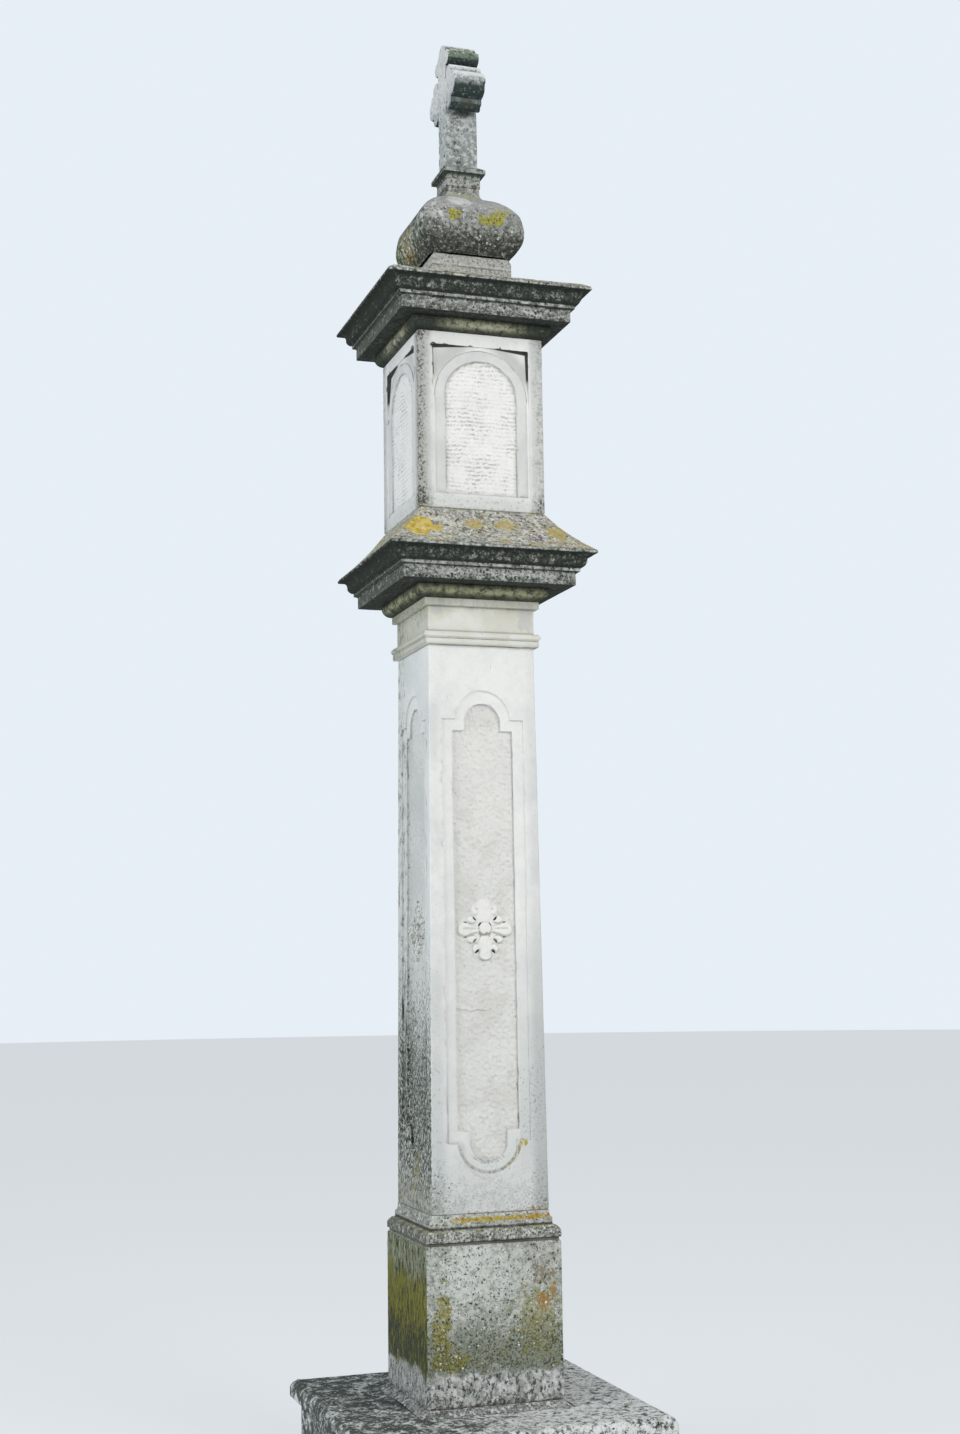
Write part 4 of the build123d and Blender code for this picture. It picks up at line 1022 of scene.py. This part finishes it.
stone.growth((0.38, 0.35, 0.02), yellow * 0.54, 0.014, edge=0.12)
stone.growth((0.05, 0.05, 0.02), yellow * 0.38, 0.0085)
stone.growth((0.55, 0.56, 0.52), yellow * 0.30, 0.010)
stone.specks((0.74, 0.75, 0.66), 0.0120, yellow * 0.26, lift=0.4)
# Painted light on the upward faces of the swell.
stone.stain((0.54, 0.54, 0.54), up.rise(0.15, 0.7) * swell * 0.45)
hip_light = stone.patch((-0.150, -0.140, 4.065), (0.055, 0.055, 0.055), 1.2)
stone.growth((0.66, 0.67, 0.65), hip_light * 0.50, 0.020, edge=0.10, strength=0.8)
left_edge = flank * z.rise(ONION_FOOT + 0.178, ONION_FOOT + 0.088)
stone.growth((0.035, 0.045, 0.03), flank * 0.46, 0.020, edge=0.10)
stone.growth((0.40, 0.27, 0.04), left_edge * y.rise(-0.12, 0.0) * 0.46, 0.015, edge=0.08)
stone.growth((0.05, 0.085, 0.045), left_edge * y.rise(0.0, 0.12) * 0.60, 0.018, edge=0.08)
stone.growth((0.56, 0.62, 0.54), left_edge * 0.38, 0.014, edge=0.06)
shoulder_light = stone.patch((-0.050, -0.13, 4.125), (0.045, 0.06, 0.035), 1.0)
stone.stain((0.70, 0.70, 0.70), shoulder_light * 0.70)
# Painted shadow along a step round the plinth, and a painted highlight on its edge just above.
plinth_step_shadow = z.near(ONION_FOOT - 0.045, 0.0012, 0.0040) * stone.noise(18).rise(0.30, 0.56)
stone.stain((0.12, 0.12, 0.10), plinth_step_shadow * 0.60)
stone.stain((0.66, 0.66, 0.63), z.near(ONION_FOOT - 0.038, 0.0010, 0.0035) * 0.40)
stone.growth((0.42, 0.34, 0.14), z.rise(ONION_FOOT - 0.042, ONION_FOOT - 0.072) * 0.42, 0.014, edge=0.08)
# Painted shade, black, on the faces under the swell that look down.
hanging = up.rise(-0.5, -0.95) * z.rise(ONION_HEAD - 0.009, ONION_HEAD - 0.059)
stone.stain(SOOT_AND_SHADE, hanging * 0.7)
stone.close(depth=0.005)
for node, worn in (("finial_plinth", 0.004), ("finial_neck", 0.0008)):
    lay_course(node, stone, spacing=0.0075, arris=worn, edge=worn * 0.5, dent=worn * 0.3,
               chip=0.005)

# Cap of the finial: a small round-edged square of greener stone that holds the cross. Soot and
# painted shade blacken its underside.
cap = StoneFinish("finial_cap_stone", (0.33, 0.36, 0.33), (0.22, 0.25, 0.22))
cap.growth(DARK, 0.42 + cap.left * 0.2, 0.012)
cap.specks((0.50, 0.53, 0.50), 0.012, 0.30, lift=0.3)
# Soot and painted shade on the faces that look down.
cap.stain(SOOT_AND_SHADE, cap.up.rise(-0.2, -0.8) * 0.8)
cap.close(depth=0.003)
lay_course("finial_cap", cap, spacing=0.006, arris=0.0015, edge=0.001, dent=0.001, chip=0.002)

# Onion: a square section with well rounded hips, raised in steps along a smooth curve through
# the heights and half widths of its swell. It wears the finial's finish.
onion = bmesh.new()
bmesh.ops.create_grid(onion, x_segments=1, y_segments=1, size=ONION_SWELL[0][1])
bmesh.ops.bevel(onion, geom=onion.verts[:], offset=ONION_HIP, offset_type="OFFSET", segments=8, profile=0.5,
                affect="VERTICES", material=-1)
bmesh.ops.translate(onion, verts=onion.verts, vec=(0, 0, ONION_SWELL[0][0]))
section = onion.faces[:]
guides = [Vector(pair) for pair in (ONION_SWELL[0], *ONION_SWELL, ONION_SWELL[-1])]
now = guides[0]
for before, start, end, after in zip(guides, guides[1:], guides[2:], guides[3:]):
    for share in (0.25, 0.5, 0.75, 1.0):
        pull = (end - before) * (share - 2 * share ** 2 + share ** 3)
        pull += (after - start) * (share ** 3 - share ** 2)
        swelling = start.lerp(end, 3 * share ** 2 - 2 * share ** 3) + pull * 0.5
        raised = bmesh.ops.extrude_face_region(onion, geom=section)["geom"]
        bmesh.ops.delete(onion, geom=section, context="FACES_ONLY")
        section = [part for part in raised if isinstance(part, bmesh.types.BMFace)]
        outline = [part for part in raised if isinstance(part, bmesh.types.BMVert)]
        bmesh.ops.translate(onion, verts=outline, vec=(0, 0, swelling[0] - now[0]))
        bmesh.ops.scale(onion, verts=outline, vec=(swelling[1] / now[1], swelling[1] / now[1], 1))
        now = swelling
lay_net(onion, 0.0065, extruded=True)
bmesh.ops.remove_doubles(onion, verts=onion.verts, dist=0.0001)
bmesh.ops.recalc_face_normals(onion, faces=onion.faces)
weather(onion, "finial_onion", dent=0.0022, chip=0.004)
lay_stone(onion, "finial_onion", stone)

# Cross: one slab of stone with trefoil ends, tenoned into the cap. Rain bleaches its faces, and
# the undersides of its lobes are green, blackened with painted shade; painted light lies on its tops,
# and a lobe casts a painted shadow on the stem.
stone = StoneFinish("cross_stone", (0.625, 0.64, 0.63), (0.50, 0.52, 0.51))
z, up = stone.z, stone.up
under = up.rise(0.30, -0.70)
facing = (stone.back * -1).rise(0.3, 0.8)
stone.growth((0.26, 0.29, 0.28), 0.38 + under * 0.20 + facing * 0.12, 0.016, edge=0.08)
stone.growth((0.74, 0.76, 0.77), 0.30 - under * 0.10, 0.016, edge=0.08)
clusters = stone.noise(14, detail=3).rise(0.46, 0.58)
stone.growth((0.06, 0.07, 0.065), 0.20 + clusters * 0.20, 0.010)
stone.specks((0.05, 0.06, 0.055), 0.0115, 0.34 + under * 0.10)
low_lobe = facing.most(under) * stone.y.rise(-0.07, -0.09) * z.rise(4.540, 4.520)
# Painted shade, tinted dark green, under the lobes and on the low front of the lower lobes.
shadowed = (under * 0.84).most(under.rise(0.36, 0.86) * 0.97).most(low_lobe * 0.70)
stone.stain((0.024, 0.038, 0.034), shadowed)
stone.growth((0.26, 0.30, 0.29), under * 0.28, 0.010, edge=0.06)
# Painted light on the upward faces.
stone.stain((0.82, 0.84, 0.85), up.rise(0.1, 0.6) * 0.75)
stone.stain((0.76, 0.75, 0.74), stone.left * z.rise(4.44, 4.60) * 0.55)
green_lobe = z.belt(4.650, 4.665, 4.712, 4.722) * facing.most(under)
stone.growth((0.125, 0.175, 0.10), green_lobe * 0.60, 0.018, edge=0.16, rough=0.8)
stone.growth((0.05, 0.075, 0.045), green_lobe * 0.40, 0.010)
# Painted shadow cast by the arm's lobe on the stem just below it.
lobe_shadow_on_stem = stone.patch((0.000, -0.06, 4.490), (0.042, 0.06, 0.034), 0.9) * facing
stone.stain((0.055, 0.055, 0.042), lobe_shadow_on_stem * 0.70)
stone.close(depth=0.003)
lay_course("cross", stone, spacing=0.0065, arris=0.004, edge=0.0025, dent=0.0012, chip=0.004)
